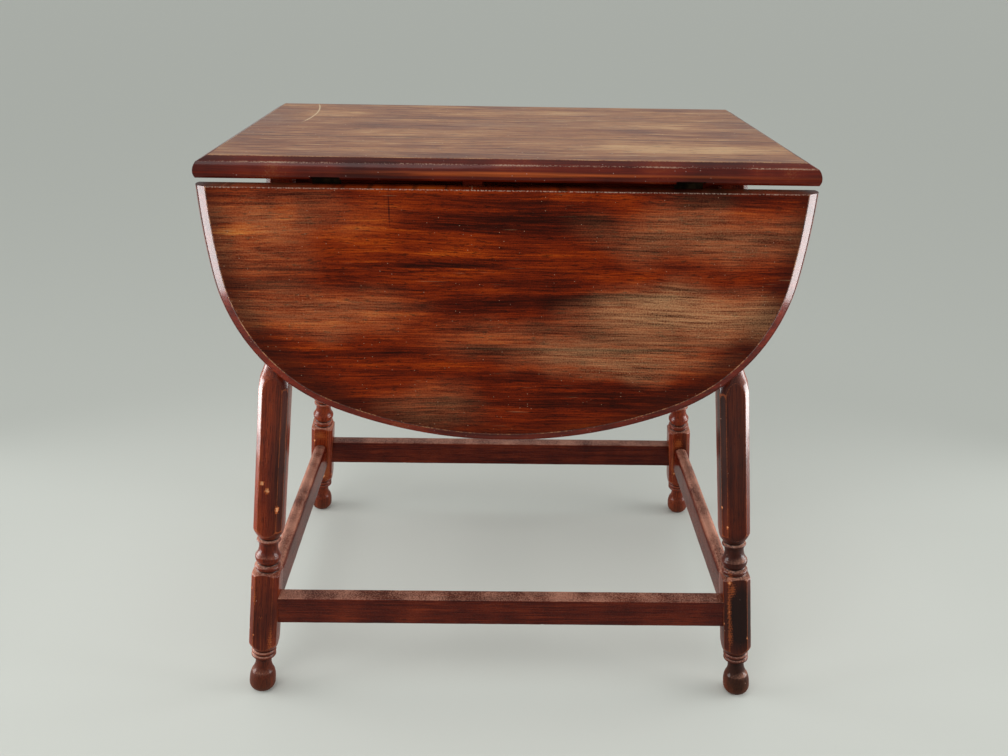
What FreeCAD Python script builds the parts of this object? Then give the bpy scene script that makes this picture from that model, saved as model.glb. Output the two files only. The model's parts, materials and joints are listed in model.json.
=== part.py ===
import FreeCAD, Part
import math
import os
import re

# Drop-leaf table. X runs along the table, Y across it, Z up; the origin is on the floor under the middle.
# The front leaf side is modelled at -Y and its twin is the same pieces turned half round about Z.
# Every piece of a leaf is drawn with the leaf raised, then hung about its hinge pin.

DIMENSIONS = {
    # Top and its moulded edge
    "table_height": 654, "top_length": 610, "top_depth": 372, "top_thickness": 20,
    "edge_inset": 12.5, "edge_bevel_width": 8.4, "edge_bevel_drop": 4.4, "edge_ledge": 0.7,
    "edge_bulge_drop": 14.5, "edge_undercut": 1.5,
    # Leaf outline: a side arc, a corner arc and an end arc, each tangent to the next
    "leaf_width": 281, "leaf_side_radius": 764, "leaf_corner_radius": 190, "leaf_end_radius": 478,
    "leaf_joint_gap": 0.4,
    # Table hinges
    "hinge_inset": 127, "hinge_width": 28, "knuckle_diameter": 7, "hinge_pin_diameter": 3,
    "hinge_pin_inset": 9.5, "plate_thickness": 2, "top_flap_length": 29, "leaf_flap_length": 44,
    "centre_knuckle_length": 11, "knuckle_gap": 0.3,
    "mortise_clearance": 0.5, "pin_running_clearance": 0.05,
    # Countersunk screws of the hinges and of the corner blocks
    "screw_diameter": 3, "screw_head_diameter": 5.8, "screw_head_height": 1.6, "hinge_screw_length": 13,
    "screw_spread": 9, "screw_inner_row": 9, "screw_outer_row": 20,
    "top_screw_diameter": 4, "top_screw_head_diameter": 8, "top_screw_head_height": 2.4,
    "top_screw_length": 50,
    # Legs: how far in from the top's edges their axes meet it, how far they splay, stock and turned lengths
    "leg_inset_x": 76, "leg_inset_y": 60, "leg_splay_x": 69, "leg_splay_y": 78,
    "leg_stock": 33, "leg_chamfer": 5.6,
    "foot_length": 47, "collar_length": 13.5, "lower_block_length": 110, "vase_length": 44,
    "upper_block_length": 148, "neck_length": 141.5,
    # Rails, stretchers and their tenons
    "rail_thickness": 19, "rail_depth": 80, "rail_shoulder": 10,
    "stretcher_thickness": 19, "stretcher_depth": 37, "stretcher_height": 117, "stretcher_shoulder": 7,
    "tenon_thickness": 8, "tenon_length": 12, "tenon_clearance": 0.1,
    # Corner blocks
    "corner_block_reach": 50, "corner_block_thickness": 18, "corner_block_height": 40,
    # Leaf props
    "prop_offset": 36, "prop_thickness": 18, "prop_depth": 16, "prop_length": 150, "prop_pivot_drop": 60,
    "prop_pin_diameter": 6, "prop_side_gap": 1, "prop_contact_clearance": 0.3,
    "cheek_thickness": 14, "cheek_depth": 20, "cheek_height": 36, "notch_depth": 26,
    "seat_length": 34, "seat_width": 26, "seat_thickness": 10,
    "seat_hollow_depth": 3, "seat_hollow_ease": 12,
    # How far every cutting shape runs past what it cuts
    "overrun": 5,
}

# The top is three boards of one width; the leaf's boards are counted from its hinge edge.
TOP_BOARD_SHARES = (1 / 3, 1 / 3, 1 / 3)
LEAF_BOARD_SHARES = (0.29, 0.285, 0.425)

# Turned outline of a leg: (share of the stretch, radius as a share of the stock, swell of the line to
# the next point as a share of its own length). A positive swell bulges out, a negative one hollows.
FOOT_SHARES = ((0.0, 0.2, 0.2), (0.32, 0.48, 0.05), (0.6, 0.42, -0.1), (0.99, 0.31, 0.0))
COLLAR_SHARES = ((0.13, 0.37, 0.45), (0.56, 0.38, 0.0), (0.61, 0.4, 0.4), (0.93, 0.4, 0.0))
LOWER_BLOCK_SHARES = ((0.0, 0.39, 0.08), (0.195, 0.68, 0.0), (0.9, 0.68, 0.16), (1.0, 0.45, 0.0))
VASE_SHARES = (
    (0.02, 0.38, 0.36), (0.2, 0.38, 0.0), (0.225, 0.36, 0.13), (0.435, 0.46, -0.1), (0.785, 0.345, 0.0),
    (0.85, 0.365, 0.45), (0.955, 0.365, 0.0), (0.975, 0.34, 0.0),
)
UPPER_BLOCK_SHARES = ((0.0, 0.37, 0.08), (0.18, 0.68, 0.0), (1.0, 0.68, 0.03))
NECK_SHARES = (
    (0.36, 0.53, -0.06), (0.7, 0.32, 0.0), (0.73, 0.35, 0.45), (0.79, 0.35, 0.45), (0.85, 0.35, 0.0),
    (0.87, 0.37, 0.18), (0.95, 0.68, 0.0),
)

doc = FreeCAD.newDocument("drop_leaf_table")
sheet = doc.addObject("Spreadsheet::Sheet", "dims")
for row, (alias, value) in enumerate(DIMENSIONS.items(), start=1):
    sheet.set(f"A{row}", alias)
    sheet.set(f"B{row}", str(value))
    sheet.setAlias(f"B{row}", alias)
doc.recompute()

nodes = []
X_AXIS = FreeCAD.Vector(1, 0, 0)
Y_AXIS = FreeCAD.Vector(0, 1, 0)
Z_AXIS = FreeCAD.Vector(0, 0, 1)
ORIGIN = FreeCAD.Vector(0, 0, 0)
HALF_TURN = 180
QUARTER_TURN = 90


def size(alias):
    """Value of a driving dimension, from the sheet."""
    return float(sheet.get(alias))


def bind(item, prop, formula):
    """Tie a property to a formula of driving dimensions."""
    def full(word):
        return f"dims.{word[0]}" if word[0] in DIMENSIONS else word[0]

    item.setExpression(prop, re.sub(r"[a-z]\w*", full, formula))


def made(kind, name, at=("0", "0", "0"), turn=None, **sizes):
    """A shape of this kind with every size and its place tied to formulas."""
    item = doc.addObject(kind, name)
    if turn:
        item.Placement = FreeCAD.Placement(ORIGIN, turn)
    for prop, formula in sizes.items():
        bind(item, prop, formula)
    for axis, formula in zip("xyz", at):
        bind(item, f"Placement.Base.{axis}", formula)
    return item


def box(name, corner, lengths, turn=None):
    """A block with its lowest corner at a place."""
    return made("Part::Box", name, corner, turn, Length=lengths[0], Width=lengths[1], Height=lengths[2])


def centred_box(name, centre, lengths):
    """A block whose X and Y are measured from its middle and whose Z starts at its foot."""
    corner = (f"{centre[0]} - ({lengths[0]}) / 2", f"{centre[1]} - ({lengths[1]}) / 2", centre[2])
    return box(name, corner, lengths)


def rod_along_x(name, start, radius, length):
    """A round rod that runs along X from a place."""
    lying = FreeCAD.Rotation(Y_AXIS, QUARTER_TURN)
    return made("Part::Cylinder", name, start, lying, Radius=radius, Height=length)


def cut(name, base, *tools):
    """The base with each tool taken out of it, one after another."""
    for count, tool in enumerate(tools, start=1):
        step = doc.addObject("Part::Cut", name if count == len(tools) else f"{name}_step_{count}")
        step.Base = base
        step.Tool = tool
        base = step
    return base


def common(name, base, tool):
    """What two shapes share."""
    item = doc.addObject("Part::Common", name)
    item.Base = base
    item.Tool = tool
    return item


def fused(name, *pieces):
    """Several overlapping shapes as one solid."""
    item = doc.addObject("Part::MultiFuse", name)
    item.Shapes = list(pieces)
    item.Refine = True
    return item


def group(name, *pieces):
    """Separate solids kept together as one node or one tool."""
    item = doc.addObject("Part::Compound", name)
    item.Links = list(pieces)
    return item


def plain(name, shape):
    """An outline drawn from the sheet's values."""
    item = doc.addObject("Part::Feature", name)
    item.Shape = shape
    return item


def node(label, item, placement=None):
    """Make a shape one of the table's pieces."""
    if placement:
        item.Placement = placement
    item.Label = label
    nodes.append(item)
    return item


# Heights and places that several pieces share, as formulas
UNDERSIDE = "(table_height - top_thickness)"
PIN_Y = "(hinge_pin_inset - top_depth / 2)"
PIN_Z = f"({UNDERSIDE} + knuckle_diameter / 2)"
LEAF_EDGE_Y = "(-top_depth / 2 - leaf_joint_gap)"
HINGE_X = "(top_length / 2 - hinge_inset)"
FOOT_X = "(top_length / 2 - leg_inset_x + leg_splay_x)"
FOOT_Y = "(top_depth / 2 - leg_inset_y + leg_splay_y)"
RAIL_FOOT = f"({UNDERSIDE} - rail_depth)"
STRETCHER_FOOT = "(stretcher_height - stretcher_depth / 2)"


def axis_x(height):
    """Distance of a leg's axis from the middle plane X = 0 at a height."""
    return f"({FOOT_X} - leg_splay_x * ({height}) / {UNDERSIDE})"


def axis_y(height):
    """Distance of a leg's axis from the middle plane Y = 0 at a height."""
    return f"({FOOT_Y} - leg_splay_y * ({height}) / {UNDERSIDE})"


RAIL_X = axis_x(f"{RAIL_FOOT} + rail_depth / 2")
RAIL_Y = axis_y(f"{RAIL_FOOT} + rail_depth / 2")
STRETCHER_X = axis_x("stretcher_height")
STRETCHER_Y = axis_y("stretcher_height")
PROP_PIVOT_Y = f"(-{RAIL_Y} - rail_thickness / 2 - cheek_depth / 2)"
PROP_PIVOT_Z = f"({UNDERSIDE} - prop_pivot_drop)"
# The tip of a raised prop stands this much higher than its pivot, in the hollow of the seat.
PROP_RISE = ("(prop_pivot_drop - seat_thickness + seat_hollow_depth - prop_contact_clearance"
             " - prop_depth / 2)")
SEAT_Y = f"({PROP_PIVOT_Y} - sqrt(prop_length ^ 2 - {PROP_RISE} ^ 2))"


def side_placements():
    """Front and back, each with the turn of its fixed pieces and the hang of its leaf's pieces."""
    pin = FreeCAD.Vector(0, size("hinge_pin_inset") - size("top_depth") / 2,
                         size("table_height") - size("top_thickness") + size("knuckle_diameter") / 2)
    hang = FreeCAD.Placement(ORIGIN, FreeCAD.Rotation(X_AXIS, QUARTER_TURN), pin)
    turned = FreeCAD.Placement(ORIGIN, FreeCAD.Rotation(Z_AXIS, HALF_TURN))
    upright = FreeCAD.Placement()
    return (("front", upright, hang), ("back", turned, turned.multiply(hang)))


def moulding_outline():
    """What the moulding takes off an edge: the edge line is Y = 0, outward is -Y, the upper face Z = 0.
    A bevel falls to a narrow ledge, then a round runs out to the bulge and an undercut below it."""
    inset, fall = size("edge_inset"), size("edge_bevel_drop")
    bulge, undercut, thick = size("edge_bulge_drop"), size("edge_undercut"), size("top_thickness")
    over = size("overrun")
    ledge_inward = inset - size("edge_bevel_width")
    round_inward, round_drop = ledge_inward - size("edge_ledge"), bulge - fall
    # The round is upright at the bulge.
    radius = (round_inward ** 2 + round_drop ** 2) / (2 * round_inward)
    half_sweep = math.asin(round_drop / radius) / 2

    def point(inward, drop):
        return FreeCAD.Vector(0, inward, -drop)

    ovolo = Part.Arc(point(round_inward, fall),
                     point(radius * (1 - math.cos(half_sweep)), bulge - radius * math.sin(half_sweep)),
                     point(0, bulge))
    under = Part.Arc(point(0, bulge), point(undercut / 4, (bulge + thick) / 2), point(undercut, thick))
    corners = [point(undercut, thick), point(undercut, thick + over), point(-over, thick + over),
               point(-over, -over), point(inset, -over), point(inset, 0), point(ledge_inward, fall),
               point(round_inward, fall)]
    edges = [ovolo.toShape(), under.toShape()]
    edges += [Part.makeLine(start, end) for start, end in zip(corners, corners[1:])]
    return Part.Wire(Part.__sortEdges__(edges))


def leaf_outline():
    """The leaf's curve, from its left hinge corner round to the right one, as arcs on the upper face."""
    half, width = size("top_length") / 2, size("leaf_width")
    side, corner, end = size("leaf_side_radius"), size("leaf_corner_radius"), size("leaf_end_radius")
    edge_y, top_z = -size("top_depth") / 2 - size("leaf_joint_gap"), size("table_height")
    side_centre = FreeCAD.Vector(half - side, edge_y, top_z)
    end_centre = FreeCAD.Vector(0, edge_y - width + end, top_z)
    # The corner arc's centre is where circles about the other two centres cross.
    between = end_centre - side_centre
    apart = between.Length
    along = ((side - corner) ** 2 - (end - corner) ** 2 + apart ** 2) / (2 * apart)
    across = math.sqrt((side - corner) ** 2 - along ** 2)
    ahead = between / apart
    outward = FreeCAD.Vector(ahead.y, -ahead.x, 0)
    corner_centre = side_centre + ahead * along + outward * across

    def on_arc(centre, radius, direction):
        return centre + direction / direction.Length * radius

    def mirrored(place):
        return FreeCAD.Vector(-place.x, place.y, place.z)

    root = FreeCAD.Vector(half, edge_y, top_z)
    first = on_arc(side_centre, side, corner_centre - side_centre)
    second = on_arc(end_centre, end, corner_centre - end_centre)
    tip = FreeCAD.Vector(0, edge_y - width, top_z)
    side_middle = on_arc(side_centre, side, (root + first) / 2 - side_centre)
    corner_middle = on_arc(corner_centre, corner, (first + second) / 2 - corner_centre)
    right = [(root, side_middle, first), (first, corner_middle, second)]
    arcs = [tuple(mirrored(place) for place in arc) for arc in right]
    arcs += [(mirrored(second), tip, second)]
    arcs += [tuple(reversed(arc)) for arc in reversed(right)]
    return [Part.Arc(*arc).toShape() for arc in arcs], root, mirrored(root)


def turned_outline(top):
    """Half outline of a turned leg, a closed face beside its axis, from the foot up to the square top."""
    stock = size("leg_stock")
    stretches = (("foot_length", FOOT_SHARES), ("collar_length", COLLAR_SHARES),
                 ("lower_block_length", LOWER_BLOCK_SHARES), ("vase_length", VASE_SHARES),
                 ("upper_block_length", UPPER_BLOCK_SHARES), ("neck_length", NECK_SHARES))
    # A plain stub below the foot is left for cutting it level with the floor.
    points, swells, start = [FreeCAD.Vector(FOOT_SHARES[0][1] * stock, 0, -size("overrun"))], [0], 0
    for alias, shares in stretches:
        for height, radius, swell in shares:
            points.append(FreeCAD.Vector(radius * stock, 0, start + height * size(alias)))
            swells.append(swell)
        start += size(alias)
    points.append(FreeCAD.Vector(points[-1].x, 0, top))
    foot = FreeCAD.Vector(0, 0, points[0].z)
    edges = [Part.makeLine(foot, points[0])]
    for begin, finish, swell in zip(points, points[1:], swells):
        run = finish - begin
        middle = (begin + finish) / 2 + FreeCAD.Vector(run.z, 0, -run.x) * swell
        edges.append(Part.Arc(begin, middle, finish).toShape() if swell else Part.makeLine(begin, finish))
    edges.append(Part.makeLine(points[-1], FreeCAD.Vector(0, 0, top)))
    edges.append(Part.makeLine(FreeCAD.Vector(0, 0, top), foot))
    return Part.Face(Part.Wire(edges))


def screw(name, foot, prefix, length):
    """A countersunk screw that points up, its head flush with the foot."""
    taper = made("Part::Cone", f"{name}_head", foot, Radius1=f"{prefix}_head_diameter / 2",
                 Radius2=f"{prefix}_diameter / 2", Height=f"{prefix}_head_height")
    shank = made("Part::Cylinder", f"{name}_shank", foot, Radius=f"{prefix}_diameter / 2", Height=length)
    return fused(name, taper, shank)


def hinge_screws(name, direction):
    """Screws of one flap of both hinges: two beside the knuckle and one behind them."""
    screws = []
    for hand in (-1, 1):
        for spread, inward in ((-1, "screw_inner_row"), (1, "screw_inner_row"), (0, "screw_outer_row")):
            run = inward if direction > 0 else f"leaf_joint_gap + hinge_pin_inset + {inward}"
            place = (f"{hand} * {HINGE_X} + {spread} * screw_spread",
                     f"{PIN_Y} + {direction} * ({run})", UNDERSIDE)
            screws.append(screw(f"{name}_{len(screws) + 1}", place, "screw", "hinge_screw_length"))
    return group(name, *screws)


def hinge_flap(name, hand, direction, screws):
    """One flap: a plate tangent to the knuckle, its own knuckles, and room for the other flap's."""
    centre_x = f"{hand} * {HINGE_X}"
    left = f"{centre_x} - hinge_width / 2"
    centre_left = f"{centre_x} - centre_knuckle_length / 2"
    centre_right = f"{centre_x} + centre_knuckle_length / 2"
    outer = "(hinge_width - centre_knuckle_length) / 2"
    clear = "(knuckle_diameter / 2 + mortise_clearance)"
    if direction > 0:
        length, plate_y, room_y, ease = "top_flap_length", PIN_Y, f"{PIN_Y} - overrun", "0"
        barrels = ((left, outer), (centre_right, outer))
        rooms = ((centre_left, "centre_knuckle_length"),)
    else:
        length, plate_y, room_y, ease = ("leaf_flap_length", f"{PIN_Y} - leaf_flap_length",
                                         f"{PIN_Y} - {clear}", "pin_running_clearance")
        barrels = ((f"{centre_left} + knuckle_gap", "centre_knuckle_length - 2 * knuckle_gap"),)
        rooms = ((f"{left} - overrun", f"{outer} + overrun + knuckle_gap"),
                 (f"{centre_right} - knuckle_gap", f"{outer} + overrun + knuckle_gap"))
    plate = box(f"{name}_plate", (left, plate_y, UNDERSIDE), ("hinge_width", length, "plate_thickness"))
    for count, (start, run) in enumerate(rooms, start=1):
        room = box(f"{name}_room_{count}", (start, room_y, f"{UNDERSIDE} - overrun"),
                   (run, f"overrun + {clear}", "2 * overrun"))
        plate = cut(f"{name}_cleared_{count}", plate, room)
    rods = [rod_along_x(f"{name}_barrel_{count}", (start, PIN_Y, PIN_Z), "knuckle_diameter / 2", run)
            for count, (start, run) in enumerate(barrels, start=1)]
    bore = rod_along_x(f"{name}_bore", (f"{left} - overrun", PIN_Y, PIN_Z),
                       f"hinge_pin_diameter / 2 + {ease}", "hinge_width + 2 * overrun")
    return cut(name, fused(f"{name}_blank", plate, *rods), bore, screws)


def hinge_recess(name, hand, placement):
    """Room in the top for one hinge: its flap, its knuckle and the strap of the raised leaf's flap."""
    left = f"{hand} * {HINGE_X} - hinge_width / 2 - mortise_clearance"
    width = "hinge_width + 2 * mortise_clearance"
    foot = f"{UNDERSIDE} - overrun"
    clear = "(knuckle_diameter / 2 + mortise_clearance)"
    flap = box(f"{name}_flap", (left, PIN_Y, foot),
               (width, "top_flap_length + mortise_clearance", "overrun + plate_thickness"))
    knuckle = box(f"{name}_knuckle", (left, f"{PIN_Y} - {clear}", foot),
                  (width, f"2 * {clear}", f"overrun + knuckle_diameter / 2 + {clear}"))
    strap = box(f"{name}_strap", (left, "-top_depth / 2 - overrun", foot),
                (width, "hinge_pin_inset + overrun", "overrun + plate_thickness + mortise_clearance"))
    recess = fused(name, flap, knuckle, strap)
    recess.Placement = placement
    return recess


def make_leg(hand, side):
    """A leg before its mortises: chamfered square stock, turned below, leaning out to its foot."""
    name = f"leg_{'front' if side < 0 else 'back'}_{'left' if hand < 0 else 'right'}"
    lean = FreeCAD.Vector(-hand * size("leg_splay_x"), -side * size("leg_splay_y"),
                          size("table_height") - size("top_thickness"))
    top = lean.Length + size("leg_stock")
    length = "2 * table_height"
    square = box(f"{name}_square", ("-leg_stock / 2", "-leg_stock / 2", "-overrun"),
                 ("leg_stock", "leg_stock", length))
    across = "(sqrt(2) * (leg_stock - leg_chamfer))"
    diagonal = box(f"{name}_diagonal", ("0", f"-{across} / sqrt(2)", "-overrun"), (across, across, length),
                   FreeCAD.Rotation(Z_AXIS, QUARTER_TURN / 2))
    turning = doc.addObject("Part::Revolution", f"{name}_turning")
    turning.Source = plain(f"{name}_outline", turned_outline(top))
    turning.Axis = Z_AXIS
    turning.Angle = 2 * HALF_TURN
    shaped = common(f"{name}_shaped", common(f"{name}_stock", square, diagonal), turning)
    sideways = math.degrees(math.asin(lean.x / lean.Length))
    forward = math.degrees(math.atan2(-lean.y, lean.z))
    lean_turn = FreeCAD.Rotation(X_AXIS, forward).multiply(FreeCAD.Rotation(Y_AXIS, sideways))
    shaped.Placement = FreeCAD.Placement(ORIGIN, lean_turn)
    bind(shaped, "Placement.Base.x", f"{hand} * {FOOT_X}")
    bind(shaped, "Placement.Base.y", f"{side} * {FOOT_Y}")
    level = centred_box(f"{name}_level", (f"{hand} * {FOOT_X}", f"{side} * {FOOT_Y}", "0"),
                        ("top_length", "top_length", UNDERSIDE))
    return name, common(f"{name}_blank", shaped, level)


def make_bar(name, along, half_run, offset, foot, prefix, legs):
    """A rail or stretcher with the tenons that run on from it, and the mortises that take them.

    The bar is cut to the legs it meets, so its shoulders follow their lean.
    """
    thickness, depth, shoulder = f"{prefix}_thickness", f"{prefix}_depth", f"{prefix}_shoulder"

    def across(piece, half, width, lift, height):
        corner = (f"-{half}", f"{offset} - ({width}) / 2", lift)
        lengths = (f"2 * {half}", width, height)
        if along == "y":
            corner = (corner[1], corner[0], corner[2])
            lengths = (lengths[1], lengths[0], lengths[2])
        return box(piece, corner, lengths)

    bar = across(f"{name}_bar", half_run, thickness, foot, depth)
    reach = f"({half_run} - leg_stock / 2 + tenon_length)"
    height = f"({depth} - 2 * {shoulder})"
    core = across(f"{name}_tenons", reach, "tenon_thickness", f"{foot} + {shoulder}", height)
    room = across(f"{name}_mortises", f"({reach} + tenon_clearance)",
                  "tenon_thickness + 2 * tenon_clearance",
                  f"{foot} + {shoulder} - tenon_clearance", f"{height} + 2 * tenon_clearance")
    return fused(f"{name}_whole", cut(f"{name}_fitted", bar, *legs), core), room


def make_frame():
    """Legs, rails and stretchers joined by mortise and tenon, and the corner blocks with their screws."""
    blanks = {}
    for side in (-1, 1):
        for hand in (-1, 1):
            blanks[hand, side] = make_leg(hand, side)
    bars = []
    for prefix, foot, half_x, half_y in (("rail", RAIL_FOOT, RAIL_X, RAIL_Y),
                                         ("stretcher", STRETCHER_FOOT, STRETCHER_X, STRETCHER_Y)):
        for side, word in ((-1, "front"), (1, "back")):
            legs = [blanks[hand, side] for hand in (-1, 1)]
            bars.append((f"{prefix}_{word}", prefix, legs, "x", half_x, f"{side} * {half_y}", foot, side))
        for hand, word in ((-1, "left"), (1, "right")):
            legs = [blanks[hand, side] for side in (-1, 1)]
            bars.append((f"{prefix}_{word}", prefix, legs, "y", half_y, f"{hand} * {half_x}", foot, 0))
    rails, mortises = {}, {name: [] for name, blank in blanks.values()}
    for name, prefix, legs, along, half_run, offset, foot, side in bars:
        bar, room = make_bar(name, along, half_run, offset, foot, prefix, [blank for leg, blank in legs])
        for leg, blank in legs:
            mortises[leg].append(room)
        if prefix == "rail" and side:
            foot_of_notch = (f"{side} * prop_offset", f"{side} * {RAIL_Y}", f"{UNDERSIDE} - notch_depth")
            notch = centred_box(f"{name}_notch", foot_of_notch,
                                ("prop_thickness + 2 * prop_side_gap", "rail_thickness + 2 * overrun",
                                 "notch_depth + overrun"))
            bar = cut(f"{name}_notched", bar, notch)
        rails[name] = node(name, bar)
    for name, blank in blanks.values():
        node(name, cut(name, blank, *mortises[name]))
    return make_corner_blocks(rails)


def make_corner_blocks(rails):
    """A block across each inner corner of the rails, and one screw up through each into the top."""
    screws = []
    for side, ahead in ((-1, "front"), (1, "back")):
        for hand, across in ((-1, "left"), (1, "right")):
            name = f"corner_block_{ahead}_{across}"
            middle = (f"{hand} * ({RAIL_X} - rail_thickness / 2 - corner_block_reach / 2)",
                      f"{side} * ({RAIL_Y} - rail_thickness / 2 - corner_block_reach / 2)",
                      f"{UNDERSIDE} - corner_block_height")
            bar = centred_box(f"{name}_bar", ("0", "0", "0"),
                              ("sqrt(2) * corner_block_reach + rail_thickness", "corner_block_thickness",
                               "corner_block_height"))
            laid = group(f"{name}_laid", bar)
            slanted = FreeCAD.Rotation(Z_AXIS, -hand * side * QUARTER_TURN / 2)
            laid.Placement = FreeCAD.Placement(ORIGIN, slanted)
            for axis, formula in zip("xyz", middle):
                bind(laid, f"Placement.Base.{axis}", formula)
            screws.append(screw(f"{name}_screw", middle, "top_screw", "top_screw_length"))
            node(name, cut(name, laid, rails[f"rail_{ahead}"], rails[f"rail_{across}"], screws[-1]))
    return node("top_screws", group("top_screws", *screws))


def make_hinges(word, turn, hang):
    """Two table hinges of one leaf. Gives the screws that the top and the leaf are drilled for."""
    top_screws = hinge_screws(f"{word}_hinge_top_screw", 1)
    leaf_screws = hinge_screws(f"{word}_hinge_leaf_screw", -1)
    top_flaps, leaf_flaps, pins = [], [], []
    for hand, across in ((-1, "left"), (1, "right")):
        name = f"{word}_{across}_hinge"
        top_flaps.append(hinge_flap(f"{name}_top_flap", hand, 1, top_screws))
        leaf_flaps.append(hinge_flap(f"{name}_leaf_flap", hand, -1, leaf_screws))
        pins.append(rod_along_x(f"{name}_pin", (f"{hand} * {HINGE_X} - hinge_width / 2", PIN_Y, PIN_Z),
                                "hinge_pin_diameter / 2", "hinge_width"))
    node(f"{word}_hinge_top_flaps", group(f"{word}_hinge_top_flaps", *top_flaps), turn)
    node(f"{word}_hinge_leaf_flaps", group(f"{word}_hinge_leaf_flaps", *leaf_flaps), hang)
    node(f"{word}_hinge_pins", group(f"{word}_hinge_pins", *pins), turn)
    drilled = node(f"{word}_hinge_top_screws", group(f"{word}_hinge_top_screws", top_screws), turn)
    node(f"{word}_hinge_leaf_screws", group(f"{word}_hinge_leaf_screws", leaf_screws), hang)
    recesses = [hinge_recess(f"{word}_hinge_recess_{hand}", hand, turn) for hand in (-1, 1)]
    return recesses + [drilled], leaf_screws


def moulded_run(name, turn, place):
    """The moulding's waste along one straight edge of the top."""
    run = doc.addObject("Part::Extrusion", name)
    run.Base = plain(f"{name}_outline", moulding_outline())
    run.DirMode = "Custom"
    run.Dir = X_AXIS
    run.Symmetric = True
    run.Solid = True
    bind(run, "LengthFwd", "top_length + 2 * overrun")
    run.Placement = FreeCAD.Placement(ORIGIN, FreeCAD.Rotation(Z_AXIS, turn))
    for axis, formula in zip("xyz", place):
        bind(run, f"Placement.Base.{axis}", formula)
    return run


def boards(label, whole, shares, start, direction, width, placement=None):
    """A wide panel as its boards, cut along lines parallel to X and counted from a start along Y."""
    done = 0
    for count, share in enumerate(shares, start=1):
        near = f"({done} * {width} - {'overrun' if count == 1 else 0})"
        far = f"({done + share} * {width} + {'overrun' if count == len(shares) else 0})"
        low = near if direction > 0 else f"-{far}"
        strip = box(f"{label}_strip_{count}", ("-top_length", f"{start} + {low}", f"{UNDERSIDE} - overrun"),
                    ("2 * top_length", f"{far} - {near}", "top_thickness + 2 * overrun"))
        node(f"{label}_{count}", common(f"{label}_{count}", whole, strip), placement)
        done += share


def make_top(drillings):
    """The moulded top, bored for its screws and recessed for the hinges."""
    slab = centred_box("top_slab", ("0", "0", UNDERSIDE), ("top_length", "top_depth", "top_thickness"))
    edges = [moulded_run("top_edge_front", 0, ("0", "-top_depth / 2", "table_height")),
             moulded_run("top_edge_right", QUARTER_TURN, ("top_length / 2", "0", "table_height")),
             moulded_run("top_edge_back", HALF_TURN, ("0", "top_depth / 2", "table_height")),
             moulded_run("top_edge_left", -QUARTER_TURN, ("-top_length / 2", "0", "table_height"))]
    boards("top_board", cut("top_whole", slab, *edges, *drillings), TOP_BOARD_SHARES,
           "-top_depth / 2", 1, "top_depth")


def make_leaf(word, hang, leaf_screws):
    """One leaf: its outline, the moulding round its curve, and the recesses of its hinge flaps."""
    arcs, right_root, left_root = leaf_outline()
    past = FreeCAD.Vector(0, size("overrun"), 0)
    blank = doc.addObject("Part::Extrusion", f"{word}_leaf_blank")
    blank.Base = plain(f"{word}_leaf_outline", Part.Wire(arcs + [Part.makeLine(right_root, left_root)]))
    blank.DirMode = "Custom"
    blank.Dir = -Z_AXIS
    blank.Solid = True
    bind(blank, "LengthFwd", "top_thickness")
    path = [Part.makeLine(left_root + past, left_root)] + arcs
    path += [Part.makeLine(right_root, right_root + past)]
    curve = plain(f"{word}_leaf_edge_path", Part.Wire(path))
    waste = plain(f"{word}_leaf_edge_outline", moulding_outline())
    waste.Placement = FreeCAD.Placement(left_root + past, FreeCAD.Rotation(Z_AXIS, -QUARTER_TURN))
    edge = doc.addObject("Part::Sweep", f"{word}_leaf_edge")
    edge.Sections = [waste]
    edge.Spine = (curve, [f"Edge{count}" for count in range(1, len(path) + 1)])
    edge.Solid = True
    pockets = [box(f"{word}_leaf_pocket_{hand}",
                   (f"{hand} * {HINGE_X} - hinge_width / 2 - mortise_clearance",
                    f"{PIN_Y} - leaf_flap_length - mortise_clearance", f"{UNDERSIDE} - overrun"),
                   ("hinge_width + 2 * mortise_clearance",
                    "leaf_flap_length + mortise_clearance + overrun", "overrun + plate_thickness"))
               for hand in (-1, 1)]
    whole = cut(f"{word}_leaf_whole", blank, edge, *pockets, leaf_screws)
    boards(f"{word}_leaf_board", whole, LEAF_BOARD_SHARES, LEAF_EDGE_Y, -1, "leaf_width", hang)


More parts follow.
